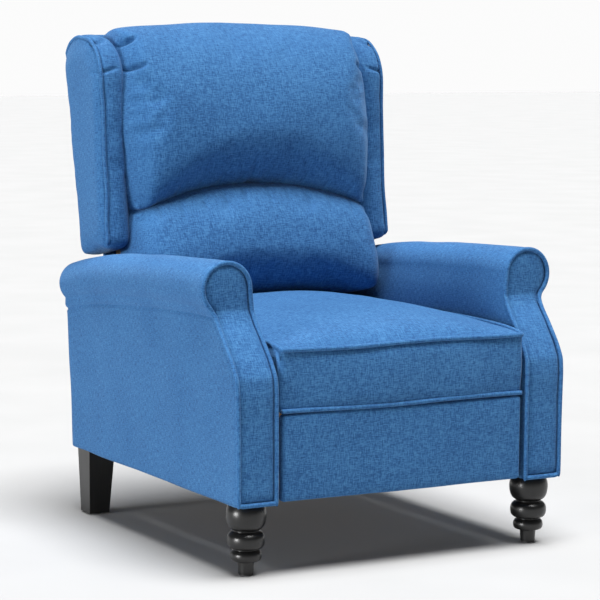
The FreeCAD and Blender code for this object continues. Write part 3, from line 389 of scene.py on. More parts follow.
class Shader:
    """A material under construction."""

    def __init__(self, name):
        self.material = bpy.data.materials.new(name)
        self.material.use_nodes = True
        self.tree = self.material.node_tree
        self.surface = next(n for n in self.tree.nodes if n.type == "BSDF_PRINCIPLED")

    def add(self, kind, settings=None, **inputs):
        """A node, with its settings and its inputs; an input is a value or another node's output."""
        made_node = self.tree.nodes.new(kind)
        for name, value in (settings or {}).items():
            setattr(made_node, name, value)
        for name, value in inputs.items():
            self.join(value, made_node.inputs[int(name[1:])])
        return made_node

    def join(self, value, socket):
        """Sets a socket to a value, or links an output to it."""
        if isinstance(value, bpy.types.NodeSocket):
            self.tree.links.new(value, socket)
        else:
            socket.default_value = value

    def math(self, operation, first, second=0.0, third=0.0):
        """A Math node's output."""
        return self.add("ShaderNodeMath", {"operation": operation}, i0=first, i1=second, i2=third).outputs[0]

    def scaled(self, vector, scale):
        """A vector, stretched by three factors."""
        return self.add("ShaderNodeVectorMath", {"operation": "MULTIPLY"}, i0=vector, i1=scale).outputs[0]

    def speckle(self, vector, detail=2.0, roughness=0.5):
        """Noise over an already scaled vector."""
        spots = self.add("ShaderNodeTexNoise", {"noise_dimensions": "3D"}, i0=vector)
        spots.inputs["Scale"].default_value = 1.0
        spots.inputs["Detail"].default_value = detail
        spots.inputs["Roughness"].default_value = roughness
        return spots.outputs[0]

    def ramp(self, factor, stops):
        """A colour ramp's output from (place, colour) stops."""
        ramp = self.add("ShaderNodeValToRGB", i0=factor)
        elements = ramp.color_ramp.elements
        while len(elements) < len(stops):
            elements.new(0.5)
        for element, (place_at, colour) in zip(elements, stops):
            element.position = place_at
            element.color = (*colour, 1)
        return ramp.outputs[0]

    def bump(self, height, distance, strength=1.0):
        """A bump from a height, on the shader's normal."""
        bump = self.add("ShaderNodeBump")
        bump.inputs["Strength"].default_value = strength
        bump.inputs["Distance"].default_value = distance
        self.join(height, bump.inputs["Height"])
        self.tree.links.new(bump.outputs[0], self.surface.inputs["Normal"])


THREAD = 1.3 * MM
SLUB = 9 * MM


def linen(name, dark, middle, light):
    """Heathered plain weave, laid on each surface by the way it faces."""
    shader = Shader(name)
    where = shader.add("ShaderNodeTexCoord")
    position = shader.add("ShaderNodeSeparateXYZ", i0=where.outputs["Object"])
    facing = shader.add("ShaderNodeSeparateXYZ", i0=where.outputs["Normal"])
    shares = [shader.math("POWER", shader.math("ABSOLUTE", facing.outputs[k]), 5.0) for k in range(3)]
    total = shader.math("ADD", shader.math("ADD", shares[0], shares[1]), shares[2])
    tints, heights = [], []
    for k, (first, second) in enumerate(((1, 2), (0, 2), (0, 1))):
        flat = shader.add("ShaderNodeCombineXYZ", i0=position.outputs[first],
                          i1=position.outputs[second], i2=0.37 * k).outputs[0]
        warp = shader.speckle(shader.scaled(flat, (1 / THREAD, 1 / SLUB, 1.0)), 1.0, 0.5)
        weft = shader.speckle(shader.scaled(flat, (1 / SLUB, 1 / THREAD, 1.0)), 1.0, 0.5)
        share = shader.math("DIVIDE", shares[k], total)
        tints.append(shader.math("MULTIPLY", shader.math("ADD", warp, weft), share))
        waves = [shader.math("SINE", shader.math("MULTIPLY", position.outputs[axis], math.pi / THREAD))
                 for axis in (first, second)]
        over = shader.math("MULTIPLY", waves[0], waves[1])
        lump = shader.math("ADD", shader.math("MULTIPLY", over, 0.25), shader.math("MAXIMUM", warp, weft))
        heights.append(shader.math("MULTIPLY", lump, share))
    tint = shader.math("ADD", shader.math("ADD", tints[0], tints[1]), tints[2])
    height = shader.math("ADD", shader.math("ADD", heights[0], heights[1]), heights[2])
    patch = shader.speckle(shader.scaled(where.outputs["Object"], (9.0, 9.0, 9.0)), 3.0)
    tint = shader.math("ADD", shader.math("MULTIPLY", tint, 0.5), shader.math("MULTIPLY", patch, 0.12))
    colour = shader.ramp(tint, ((0.39, dark), (0.56, middle), (0.73, light)))
    shader.join(colour, shader.surface.inputs["Base Color"])
    shader.surface.inputs["Roughness"].default_value = 0.86
    shader.surface.inputs["Specular IOR Level"].default_value = 0.25
    shader.surface.inputs["Sheen Weight"].default_value = 0.12
    shader.surface.inputs["Sheen Roughness"].default_value = 0.45
    shader.surface.inputs["Sheen Tint"].default_value = (0.55, 0.75, 1.0, 1)
    shader.bump(height, 0.6 * MM, 0.7)
    return shader.material


def lacquer():
    """Black satin lacquer over close grain, with roughness that varies in patches."""
    shader = Shader("leg_lacquer")
    where = shader.add("ShaderNodeTexCoord").outputs["Object"]
    grain = shader.speckle(shader.scaled(where, (400.0, 400.0, 25.0)), 4.0)
    smear = shader.speckle(shader.scaled(where, (30.0, 30.0, 12.0)), 3.0)
    shader.join(shader.ramp(grain, ((0.3, (0.002, 0.002, 0.002)), (0.75, (0.006, 0.006, 0.006)))),
                shader.surface.inputs["Base Color"])
    shader.join(shader.math("MULTIPLY_ADD", smear, 0.22, 0.2), shader.surface.inputs["Roughness"])
    shader.surface.inputs["Coat Weight"].default_value = 0.08
    shader.surface.inputs["Coat Roughness"].default_value = 0.18
    shader.bump(grain, 0.1 * MM, 0.25)
    return shader.material


def timber(name, dark, light, stretch, rough):
    """Raw wood with grain along one axis."""
    shader = Shader(name)
    where = shader.add("ShaderNodeTexCoord").outputs["Object"]
    warped = shader.speckle(shader.scaled(where, (9.0, 9.0, 9.0)), 2.0)
    lines = shader.speckle(shader.scaled(where, stretch), 6.0, 0.62)
    mixed = shader.math("ADD", shader.math("MULTIPLY", lines, 0.8), shader.math("MULTIPLY", warped, 0.2))
    shader.join(shader.ramp(mixed, ((0.32, dark), (0.68, light))), shader.surface.inputs["Base Color"])
    shader.surface.inputs["Roughness"].default_value = rough
    shader.bump(lines, 0.25 * MM, 0.4)
    return shader.material


def plywood():
    """Birch plywood: thin veneers seen on the edges, grain on the faces."""
    shader = Shader("birch_plywood")
    where = shader.add("ShaderNodeTexCoord").outputs["Object"]
    axes = shader.add("ShaderNodeSeparateXYZ", i0=where)
    layers = shader.math("SINE", shader.math("MULTIPLY", axes.outputs[0], 2 * math.pi / (3 * MM)))
    grain = shader.speckle(shader.scaled(where, (40.0, 14.0, 160.0)), 5.0, 0.6)
    mixed = shader.math("ADD", grain, shader.math("MULTIPLY", layers, 0.1))
    shader.join(shader.ramp(mixed, ((0.3, (0.4, 0.25, 0.13)), (0.7, (0.68, 0.5, 0.31)))),
                shader.surface.inputs["Base Color"])
    shader.surface.inputs["Roughness"].default_value = 0.72
    shader.bump(grain, 0.2 * MM, 0.4)
    return shader.material


def metal(name, dark, light, metallic, rough, scale):
    """Painted or plated steel with a fine uneven finish."""
    shader = Shader(name)
    where = shader.add("ShaderNodeTexCoord").outputs["Object"]
    fine = shader.speckle(shader.scaled(where, (scale, scale, scale)), 3.0)
    broad = shader.speckle(shader.scaled(where, (28.0, 28.0, 28.0)), 4.0)
    shader.join(shader.ramp(broad, ((0.3, dark), (0.72, light))), shader.surface.inputs["Base Color"])
    shader.surface.inputs["Metallic"].default_value = metallic
    shader.join(shader.math("MULTIPLY_ADD", fine, 0.2, rough), shader.surface.inputs["Roughness"])
    shader.bump(fine, 0.08 * MM, 0.4)
    return shader.material


def nylon():
    """Moulded black nylon with a fine spark-eroded grain."""
    shader = Shader("glide_nylon")
    where = shader.add("ShaderNodeTexCoord").outputs["Object"]
    grain = shader.speckle(shader.scaled(where, (1600.0, 1600.0, 1600.0)), 2.0)
    shader.join(shader.ramp(grain, ((0.3, (0.02, 0.02, 0.021)), (0.7, (0.034, 0.034, 0.035)))),
                shader.surface.inputs["Base Color"])
    shader.surface.inputs["Roughness"].default_value = 0.55
    shader.bump(grain, 0.05 * MM, 0.5)
    return shader.material


def webbing_cloth():
    """Black elastic webbing: ribs across the strap with a fine fuzz."""
    shader = Shader("elastic_webbing")
    where = shader.add("ShaderNodeTexCoord").outputs["Object"]
    axes = shader.add("ShaderNodeSeparateXYZ", i0=where)
    ribs = shader.math("SINE", shader.math("MULTIPLY", axes.outputs[0], 2 * math.pi / (2.4 * MM)))
    fuzz = shader.speckle(shader.scaled(where, (900.0, 900.0, 900.0)), 2.0)
    mixed = shader.math("ADD", shader.math("MULTIPLY", ribs, 0.2), fuzz)
    shader.join(shader.ramp(mixed, ((0.3, (0.02, 0.02, 0.022)), (0.8, (0.11, 0.11, 0.12)))),
                shader.surface.inputs["Base Color"])
    shader.surface.inputs["Roughness"].default_value = 0.9
    shader.bump(ribs, 0.4 * MM, 0.6)
    return shader.material


CLOTH = linen("blue_linen", (0.011, 0.062, 0.185), (0.028, 0.120, 0.295), (0.060, 0.196, 0.405))
FINISHES = {
    "upholstery": CLOTH,
    "leg_wood": lacquer(),
    "plywood": plywood(),
    "frame_wood": timber("pine_frame", (0.42, 0.26, 0.13), (0.70, 0.50, 0.30), (160.0, 14.0, 90.0), 0.7),
    "mechanism_steel": metal("black_powder_coat", (0.02, 0.02, 0.022), (0.045, 0.045, 0.05), 0.0, 0.35,
                             1500.0),
    "zinc_steel": metal("bright_zinc", (0.52, 0.53, 0.54), (0.74, 0.75, 0.76), 1.0, 0.22, 700.0),
    "glide_plastic": nylon(),
    "webbing": webbing_cloth(),
}


# ---- arms -----------------------------------------------------------------------------------------

ROLL_RADIUS = FACE.x1 - ARM_INNER - 80 * MM + 22 * MM
ROLL_MIDDLE = FACE.x1 - ROLL_RADIUS
ARM_LENGTH = ARM.y1 - FRONT
ARM_SET_BACK = 87 * MM
PIPING = 4.3 * MM
SEAM_DEEP = 4 * MM


def face_depth(height):
    """How far the arm's face has gone back at a height above the floor: an S seen from the side."""
    rise = np.asarray(height) - ARM_BOTTOM
    return ease(rise, np.array((0, 190, 222, 242, 285, 322, 342, 440)) * MM,
                np.array((0, 0, 2.5, 12, 45, 76, 86, 87)) * MM)


def roll_at(depth):
    """Top and radius of the arm's roll at a depth."""
    top = ease(depth, np.array((0, 119, 246, 400, 555, 640, 742)) * MM,
               FACE.z1 - np.array((0, 1, 5, 14, 27, 38, 57)) * MM)
    radius = ease(depth, np.array((87, 400, 742)) * MM, np.array((49.3, 46, 42)) * MM)
    return float(top), float(radius)


def arm_section(depth, seam):
    """Outline of the right arm seen from the front, at a depth: from the inner bottom over the roll."""
    top, radius = roll_at(depth)
    middle = (ROLL_MIDDLE, top - radius)
    inner, outer, low = ARM_INNER, ARM_INNER + ARM_SIDE, ARM_BOTTOM
    turn = 9 * MM
    wall = [(inner + turn, low), (inner + turn * 0.3, low + turn * 0.3), (inner, low + turn),
            (inner + 0.5 * MM, low + 180 * MM), (inner + 2 * MM, middle[1] - 130 * MM),
            (inner + 5.5 * MM, middle[1] - 45 * MM), (middle[0] - radius, middle[1])]
    arc = [(middle[0] + radius * math.cos(t), middle[1] + radius * math.sin(t))
           for t in np.linspace(math.pi, -math.pi / 4, 60)]
    under = middle[1] - 52 * MM
    side = [arc[-1], (outer + 8.5 * MM, under + 9 * MM), (outer + 5.5 * MM, under + 2.5 * MM),
            (outer + 5 * MM - seam, under), (outer + 5 * MM, under - 3 * MM),
            (outer + 4.5 * MM, under - 16 * MM), (outer + 3 * MM, under - 95 * MM),
            (outer + 0.5 * MM, low + 110 * MM), (outer, low + turn),
            (outer - turn * 0.3, low + turn * 0.3), (outer - turn, low)]
    floor = [side[-1], wall[0]]
    return np.vstack([flowing(wall, 40), arc[1:], flowing(side, 70)[1:], even(floor, 9)[1:-1]])


def rear_depth(height):
    """Depth of the arm's rear edge, which leans back a little."""
    return ARM_LENGTH - 12 * MM + (np.asarray(height) - ARM_BOTTOM) * 0.055


def arm_cover():
    """Cloth over the right arm: side, roll and inner wall as one lofted skin."""
    edge = np.array((0.0, 2.5, 6, 12)) * MM
    edge_inset = np.array((4.0, 2.2, 0.8, 0)) * MM
    tail = np.array((12.0, 6, 2.2, 0)) * MM
    tail_inset = np.array((0.0, 1.2, 4, 9)) * MM
    rings = []
    stations = [("edge", k) for k in range(4)] + [("run", s) for s in np.linspace(0, 1, 90)[1:-1]]
    stations += [("tail", k) for k in range(4)]
    for kind, k in stations:
        share = {"edge": 0.0, "tail": 1.0}.get(kind, k)
        depth = ARM_SET_BACK + (ARM_LENGTH - ARM_SET_BACK) * share
        flat = arm_section(depth, SEAM_DEEP)
        lead, lag = edge[-1], tail[0]
        inset, first, last = 0.0, lead, lag
        if kind == "edge":
            inset, first = edge_inset[k], edge[k]
        if kind == "tail":
            inset, last = tail_inset[k], tail[k]
        start = face_depth(flat[:, 1]) + first + 1.5 * MM
        end = rear_depth(flat[:, 1]) - last
        flat = flat + inward(flat) * inset
        along = start + (end - start) * share
        if not rings:
            tucked = flat + inward(flat) * 4 * MM
            rings.append(np.stack([tucked[:, 0], FRONT + along + 60 * MM, tucked[:, 1]], axis=1))
            rings.append(np.stack([tucked[:, 0], FRONT + along + 12 * MM, tucked[:, 1]], axis=1))
        rings.append(np.stack([flat[:, 0], FRONT + along, flat[:, 1]], axis=1))
    cover = loft("arm_cover_right", rings)
    crumple(cover, 1.6 * MM, 90 * MM, 3.1)
    return cover


def arm_face():
    """Padded S-shaped panel inside the piping of the right arm."""
    outline = arm_section(ARM_SET_BACK, 0.0)
    top_index = int(np.argmax(outline[:, 1]))
    low = outline[:, 1].min()
    inner, outer = outline[:top_index + 1], outline[top_index:-8]
    inner = inner[np.argsort(inner[:, 1])]
    outer = outer[np.argsort(outer[:, 1])]
    rows, columns = 120, 26
    crown = np.linspace(0, 1, rows)
    heights = low + 4.5 * MM + (outline[top_index, 1] - low - 8 * MM) * (1 - (1 - crown) ** 1.35)
    front, rear = np.zeros((rows, columns, 3)), np.zeros((rows, columns, 3))
    across = (1 - np.cos(np.linspace(0, math.pi, columns))) / 2
    slope = np.gradient(face_depth(heights), heights)
    tilt = np.stack([-np.ones(rows), slope], axis=1) / np.sqrt(1 + slope ** 2)[:, None]
    for i, height in enumerate(heights):
        left = np.interp(height, inner[:, 1], inner[:, 0]) + 4.2 * MM
        right = np.interp(height, outer[:, 1], outer[:, 0]) - 4.2 * MM
        right = max(right, left + 1 * MM)
        ends = min(1.0, min(height - heights[0], heights[-1] - height) / (22 * MM))
        dome = (1 - np.abs(2 * across - 1) ** 5) * (1 - (1 - ends) ** 3)
        base = face_depth(height)
        for target, lift in ((front, 8 * MM), (rear, -6 * MM)):
            push = dome * lift
            target[i, :, 0] = left + (right - left) * across
            target[i, :, 1] = FRONT + 7 * MM + base + tilt[i, 0] * push
            target[i, :, 2] = height + tilt[i, 1] * push
    face = pillow("arm_face_right", front, rear)
    crumple(face, 1.2 * MM, 60 * MM, 7.7)
    return face


def arm_piping():
    """Piping all round the face of the right arm."""
    outline = arm_section(ARM_SET_BACK, 0.0)
    ring = outline + inward(outline) * 2.2 * MM
    path = np.stack([ring[:, 0], FRONT + face_depth(ring[:, 1]) + 1.5 * MM, ring[:, 1]], axis=1)
    return tube("arm_piping_right", even(path, 330, closed=True), PIPING, closed=True)


def arms():
    """Both arms: cover, face and piping."""
    for make, nodes, soft in ((arm_cover, ("arm_pad", "arm_board"), True),
                              (arm_face, ("arm_front",), True), (arm_piping, (), False)):
        right = make()
        left = mirrored(right.name.replace("right", "left"), right)
        for thing, side in ((right, "right"), (left, "left")):
            place(thing, "base", CLOTH)
            if nodes:
                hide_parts(*[node + "_" + side for node in nodes])


# ---- seat and footrest ----------------------------------------------------------------------------

SEAT_HALF = SEAT.x1 + 8 * MM
SEAT_EDGE = SEAT.z0 + 115 * MM


def seat_dome(share):
    """How full the seat is at a share of its half width: 1 in the middle, 0 at its sides."""
    return 1 - abs(share) ** 2.6


def seat_wave(share):
    """Slight wave of the seat's front edge."""
    return 2.5 * MM * math.sin(3.2 * share + 0.6) * (1 - share ** 2)


def seat():
    """Boxed seat cushion with a crowned top and a front that wraps over the front rail."""
    half = SEAT_HALF
    lip, under = SEAT.y0 + 16 * MM, SEAT.z0 + 47.5 * MM
    edge, crown, low = SEAT_EDGE, SEAT.z1 + 3 * MM, SEAT.z0
    rear = SEAT.y1
    shares = crowded(9, 60)
    rings = []
    for share in shares:
        dome = seat_dome(share)
        pinch = 4 * MM * max(0.0, (abs(share) - 0.96) / 0.04) ** 2
        top = edge + seat_wave(share)
        peak = top + 8 * MM + (crown - top - 8 * MM) * dome
        front = SEAT.y0 + 1 * MM - 7 * MM * dome
        profile = [(lip, low + pinch), (SEAT.y0 + 5 * MM, low + pinch), (front + 2 * MM, low + 12 * MM),
                   (front, low + 45 * MM), (front, low + 75 * MM), (front + 2 * MM, top - 14 * MM),
                   (SEAT.y0 + 3 * MM, top - 4 * MM), (SEAT.y0 + 9 * MM, top + 1 * MM),
                   (SEAT.y0 + 30 * MM, top + (peak - top) * 0.42),
                   (SEAT.y0 + 75 * MM, top + (peak - top) * 0.72),
                   (SEAT.y0 + 150 * MM, top + (peak - top) * 0.93), (SEAT.y0 + 260 * MM, peak),
                   (rear - 160 * MM, peak - 2 * MM), (rear - 50 * MM, peak - 6 * MM),
                   (rear - 8 * MM, peak - 20 * MM), (rear, under + 30 * MM), (rear - 6 * MM, under + 2 * MM),
                   (rear - 200 * MM, under), (lip + 30 * MM, under), (lip, under - 4 * MM)]
        line = flowing(profile, 150, closed=True)
        centre = np.array((SEAT.y0 + 250 * MM, edge - 25 * MM))
        gap = np.linalg.norm(line - centre, axis=1)[:, None]
        line = line + (centre - line) / gap * np.minimum(pinch, gap * 0.5)
        rings.append(np.stack([np.full(len(line), share * half), line[:, 0], line[:, 1]], axis=1))
    cushion = loft("seat_cover", rings)
    crumple(cushion, 3 * MM, 120 * MM, 1.3)
    place(cushion, "seat", CLOTH)
    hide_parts("seat_cushion")


def seat_piping():
    """Piping round the seat's top edge and along its low front edge."""
    half, edge, low = SEAT_HALF, SEAT_EDGE, SEAT.z0
    top_line, low_line = [], []
    for share in np.linspace(-0.992, 0.992, 120):
        front = SEAT.y0 + 1.5 * MM - 3 * MM * seat_dome(share)
        top_line.append((share * half, front, edge + seat_wave(share) - 1 * MM))
        low_line.append((share * half, front,
                         low + 4.5 * MM + 2.5 * MM * math.sin(2.6 * share - 0.9) * (1 - share ** 2)))
    backs = [(half - 2 * MM, SEAT.y0 + depth * MM, edge + rise * MM)
             for depth, rise in ((9, 1.5), (30, 5), (80, 9), (180, 11), (330, 10), (470, 4))]
    corner = flowing([top_line[-1], *backs], 110)
    twin = corner[::-1] * np.array((-1, 1, 1))
    twin[-1] = top_line[0]
    whole = even(np.vstack([twin, top_line[1:-1], corner]), 420)
    place(tube("seat_piping_top", whole, PIPING), "seat", CLOTH)
    place(tube("seat_piping_low", low_line, PIPING), "seat", CLOTH)


def slab(name, low, high, turn, puff, along=1, cells=(60, 60)):
    """A padded panel: a box with rounded edges whose two wide faces swell along one axis."""
    low, high = np.array(low, float), np.array(high, float)
    bm = bmesh.new()
    wide = [axis for axis in range(3) if axis != along]
    spread = [np.concatenate([np.linspace(-1, -0.94, 6), np.linspace(-0.94, 0.94, count)[1:-1],
                              np.linspace(0.94, 1, 6)]) for count in cells]
    middle, half = (low + high) / 2, (high - low) / 2
    inner = np.maximum(half - turn, 0)

    def rounded(point):
        clamped = np.clip(point, -inner, inner)
        out = point - clamped
        length = np.linalg.norm(out)
        spot = clamped + (out / length * turn if length > 1e-9 else out)
        a, b = (spot[axis] / half[axis] for axis in wide)
        spot[along] += np.sign(point[along]) * puff * (1 - a ** 4) * (1 - b ** 4)
        return spot + middle

    for facing in (-1, 1):
        grid = np.zeros((len(spread[0]), len(spread[1]), 3))
        for i, a in enumerate(spread[0]):
            for j, b in enumerate(spread[1]):
                point = np.zeros(3)
                point[wide[0]], point[wide[1]] = a * half[wide[0]], b * half[wide[1]]
                point[along] = facing * half[along]
                grid[i, j] = rounded(point)
        add_grid(bm, grid)
    depths = np.linspace(-1, 1, 9)
    for k in (0, 1):
        other = 1 - k
        for facing in (-1, 1):
            grid = np.zeros((len(spread[other]), len(depths), 3))
            for i, a in enumerate(spread[other]):
                for j, b in enumerate(depths):
                    point = np.zeros(3)
                    point[wide[k]] = facing * half[wide[k]]
                    point[wide[other]], point[along] = a * half[wide[other]], b * half[along]
                    grid[i, j] = rounded(point)
            add_grid(bm, grid)
    return made(name, bm)


def footrest():
    """Padded face of the footrest."""
    wider, taller = 13 * MM, 10 * MM
    cover = slab("footrest_cover", (FOOTREST.x0 - wider, FOOTREST.y0, FOOTREST.z0),
                 (FOOTREST.x1 + wider, FOOTREST.y1, FOOTREST.z1 + taller), 7 * MM, 2.5 * MM, cells=(80, 30))
    crumple(cover, 1.2 * MM, 80 * MM, 5.1)
    place(cover, "footrest", CLOTH)
    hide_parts("footrest_pad")


# ---- back -----------------------------------------------------------------------------------------

def rear_plane(height):
    """Y of the back's leaning rear face at a height."""
    return WING.y1 - (WING.z1 - 61 * MM - height) * math.tan(LEAN)


WING_CORNERS = ((0, 26, 20), (14, 199, 90), (27, 374, 60), (48, 413, 40), (86, 441, 60), (151, 449, 60),
                (196, 429, 40), (214, 389, 40), (133, 0, 14))
WING_TUCKS = (((0.330, 0.938), (0.288, 0.950)), ((0.330, 0.884), (0.286, 0.895)))


def wing_outline(count=260):
    """Side outline of a wing as (Y, Z), from the front foot round to the rear foot."""
    corners = [(WING.y0 + first * MM, WING.z0 + second * MM, turn * MM)
               for first, second, turn in WING_CORNERS]
    return filleted(corners, count)


def wing():
    """Padded right wing: a flat outer face, a fat front band that rounds in to the cushions."""
    outline = wing_outline()
    spine_y = WING.y0 + 95 * MM
    foot, head = WING.z0 + 70 * MM, WING.z1 - 80 * MM
    climb = np.clip((outline[:, 1] - foot) / (head - foot), 0, 1)
    spine = np.stack([spine_y + (climb - 0.3) * 45 * MM, foot + (head - foot) * climb], axis=1)
    toward = spine - outline
    room = np.linalg.norm(toward, axis=1)[:, None]
    inner, outer = WING_BOARD.x0, WING.x1
    wide = outer - inner
    bands = [(0.0, 75), (0.0, 48), (0.01, 30), (0.05, 19), (0.11, 11.5), (0.2, 5.5), (0.33, 1.2),
             (0.5, 0), (0.7, 0.4), (0.9, 1.6), (0.95, 3), (0.98, 6), (1.0, 12), (1.0, 75)]
    rings = []
    for share, inset in bands:
        line = outline + toward * np.minimum(inset * MM / room, 0.9)
        rings.append(np.stack([np.full(len(line), inner + wide * share), line[:, 0], line[:, 1]], axis=1))
    cover = loft("wing_cover_right", rings)
    stuffed(cover, VOXEL, 3.0, 6 * MM)
    crumple(cover, 1.5 * MM, 90 * MM, 9.4)
    seam(cover, laid_on(wing_edge(), cover, 0), 3 * MM, 4.5 * MM)
    for start, end in WING_TUCKS:
        crease(cover, start, end, 5 * MM, 3.5 * MM)
    return cover


def wing_edge():
    """The piped edge of the right wing: up its front and over its top, on the outer side."""
    outline = wing_outline(400)
    ring = outline + inward(outline) * 2.5 * MM
    heights, backs = ring[:, 1] - WING.z0, ring[:, 0] - WING.y0
    kept = [k for k in range(len(ring))
            if heights[k] > 388 * MM or backs[k] < 14 * MM + heights[k] * 0.09 and heights[k] > 24 * MM]
    gap = max(range(len(kept)), key=lambda k: (kept[k] - kept[k - 1]) % len(ring))
    kept = kept[gap:] + kept[:gap]
    return np.stack([np.full(len(kept), WING.x1 - 2 * MM), ring[kept, 0], ring[kept, 1]], axis=1)


def wings():
    """Both wings with their tucks and their piping."""
    cover = wing()
    path = laid_on(wing_edge(), cover, PIPING * 0.5)
    piping = tube("wing_piping_right", even(path, 260), PIPING * 0.85)
    for right in (cover, piping):
        left = mirrored(right.name.replace("right", "left"), right)
        for thing, side in ((right, "right"), (left, "left")):
            place(thing, "back", CLOTH)
            if right is cover:
                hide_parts("wing_pad_" + side, "wing_board_" + side)


ARCH = 50 * MM


def arch(share):
    """Height of the seam between the two back cushions."""
    return HEAD.z0 + 10 * MM - ARCH * abs(share) ** 1.8


HEAD_TUCKS = (((-0.270, 0.936), (-0.243, 0.957), 10, 3.2), ((-0.270, 0.889), (-0.240, 0.903), 12, 3.2),
              ((0.266, 0.893), (0.244, 0.903), 9, 4.5), ((-0.008, 0.652), (-0.010, 0.712), 3.5, 7))
GATHERS = ((-0.83, 20), (-0.66, 30), (-0.47, 24), (-0.30, 34), (-0.13, 26), (0.07, 36), (0.24, 24),
           (0.41, 32), (0.60, 22), (0.80, 26))


def gathers(cushion, way):
    """Small folds that run off the arched seam, up (1) or down (-1)."""
    half = WING_BOARD.x0
    for share, reach in GATHERS:
        foot = arch(share) + way * 4 * MM
        end = ((share + 0.02 * way) * half, foot + way * reach * MM)
        crease(cushion, (share * half, foot), end, 2.2 * MM, 5 * MM)


def head_cushion():
    """Head cushion: arched lower seam, rolled over the top of the back."""
    half = WING_BOARD.x0 - 1 * MM
    front = HEAD.y0
    rings = []
    shares = crowded(10, 70)
    for share in shares:
        tuck = 34 * MM * max(0.0, (abs(share) - 0.88) / 0.12) ** 2
        low = arch(share)
        drop = 9 * MM * abs(share) ** 3
        top = HEAD.z1 - drop
        profile = [(front + 34 * MM, low + 3 * MM), (front + 13 * MM + tuck, low + 12 * MM),
                   (front + 1 * MM + tuck, low + 42 * MM), (front - 2 * MM + tuck, low + 90 * MM),
                   (front + 3 * MM + tuck, HEAD.z0 + 130 * MM), (front + 17 * MM + tuck, HEAD.z0 + 200 * MM),
                   (front + 38 * MM + tuck, HEAD.z0 + 262 * MM - drop * 0.5),
                   (front + 66 * MM + tuck * 0.8, top - 26 * MM), (front + 100 * MM, top - 6 * MM),
                   (front + 140 * MM, top), (front + 185 * MM, top - 8 * MM),
                   (front + 218 * MM, top - 28 * MM)]
        rear = [(rear_plane(top - 60 * MM) - 16 * MM, top - 60 * MM),
                (rear_plane(HEAD.z0 + 120 * MM) - 60 * MM, HEAD.z0 + 120 * MM),
                (rear_plane(low + 4 * MM) - 60 * MM, low + 4 * MM)]
        line = flowing(profile + rear, 190, closed=True)
        rings.append(np.stack([np.full(len(line), share * half), line[:, 0], line[:, 1]], axis=1))
    cushion = loft("head_cover", rings)
    stuffed(cushion, VOXEL, 4.0, 24 * MM)
    crumple(cushion, 3 * MM, 110 * MM, 2.2)
    for start, end, depth, width in HEAD_TUCKS:
        crease(cushion, start, end, depth * MM, width * MM)
    gathers(cushion, 1)
    place(cushion, "back", CLOTH)
    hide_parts("head_cushion")


def lumbar_cushion():
    """Lumbar cushion under the head cushion; its top follows the arched seam."""
    half = LUMBAR.x1 + 6 * MM
    front = LUMBAR.y0
    rings = []
    shares = crowded(10, 70)
    for share in shares:
        tuck = 30 * MM * max(0.0, (abs(share) - 0.86) / 0.14) ** 2
        top = arch(share) - 2 * MM
        low = LUMBAR.z0 - 8 * MM - 14 * MM * abs(share) ** 3
        profile = [(front + 40 * MM + tuck, low), (front + 12 * MM + tuck, low + 8 * MM),
                   (front + 2 * MM + tuck, low + 28 * MM), (front + 4 * MM + tuck, low + 62 * MM),
                   (front + 17 * MM + tuck, top - 72 * MM), (front + 38 * MM + tuck, top - 28 * MM),
                   (front + 62 * MM + tuck, top - 7 * MM), (front + 88 * MM, top)]
        rear = [(rear_plane(top) - 60 * MM, top), (rear_plane(low) - 60 * MM, low)]
        line = flowing(profile + rear, 150, closed=True)
        rings.append(np.stack([np.full(len(line), share * half), line[:, 0], line[:, 1]], axis=1))
    cushion = loft("lumbar_cover", rings)
    stuffed(cushion, VOXEL, 4.0, 24 * MM)
    crumple(cushion, 3 * MM, 110 * MM, 4.2)
    gathers(cushion, -1)
    place(cushion, "back", CLOTH)
    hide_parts("lumbar_cushion")


def rear_covers():
    """Cloth over the back's rear and over the base's rear panel."""
    length = (SHELL.z1 - SHELL.z0) / math.cos(LEAN)
    wider, above, below = 10 * MM, 20 * MM, 20 * MM
    cover = slab("back_cover", (SHELL.x0 - wider, -14 * MM, -below), (SHELL.x1 + wider, 0, length + above),
                 5 * MM, 4 * MM, cells=(50, 60))
    rail_cover = slab("top_rail_cover", (SHELL.x0 - wider, -72 * MM, length - 45 * MM),
                      (SHELL.x1 + wider, -8 * MM, length + 1 * MM), 6 * MM, 1 * MM, along=2, cells=(60, 10))
    for thing in (cover, rail_cover):
        thing.data.transform(Matrix.Translation((0, rear_plane(SHELL.z0), SHELL.z0))
                             @ Matrix.Rotation(-LEAN, 4, "X"))
        crumple(thing, 1.5 * MM, 120 * MM, 6.6)
        place(thing, "back", CLOTH)
    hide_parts("back_outer_panel")
    panel = slab("base_rear_cover", (REAR_PANEL.x0, REAR_PANEL.y0, REAR_PANEL.z0),
                 (REAR_PANEL.x1, REAR_PANEL.y1, REAR_PANEL.z1), 3.5 * MM, 2 * MM, cells=(50, 24))
    crumple(panel, 1 * MM, 90 * MM, 8.6)
    place(panel, "base", CLOTH)
    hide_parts("base_rear_panel")


# ---- legs -----------------------------------------------------------------------------------------

LEG_TURNING = ((0, 0), (13.4, 0), (14, 1.5), (15.2, 21.5), (18, 22.5), (24.5, 24), (27.6, 28), (28.4, 33),
               (27.4, 38.5), (24.2, 42.5), (22.6, 44), (22.8, 45.5), (29, 48), (33, 53), (34.4, 61),
               (33.2, 69.5), (29, 75), (24.4, 77.5), (23.6, 79), (25, 80.5), (31, 85), (35, 93),
               (36.8, 105), (36, 115), (33.2, 123), (30.5, 128), (30.5, 129), (0, 129))


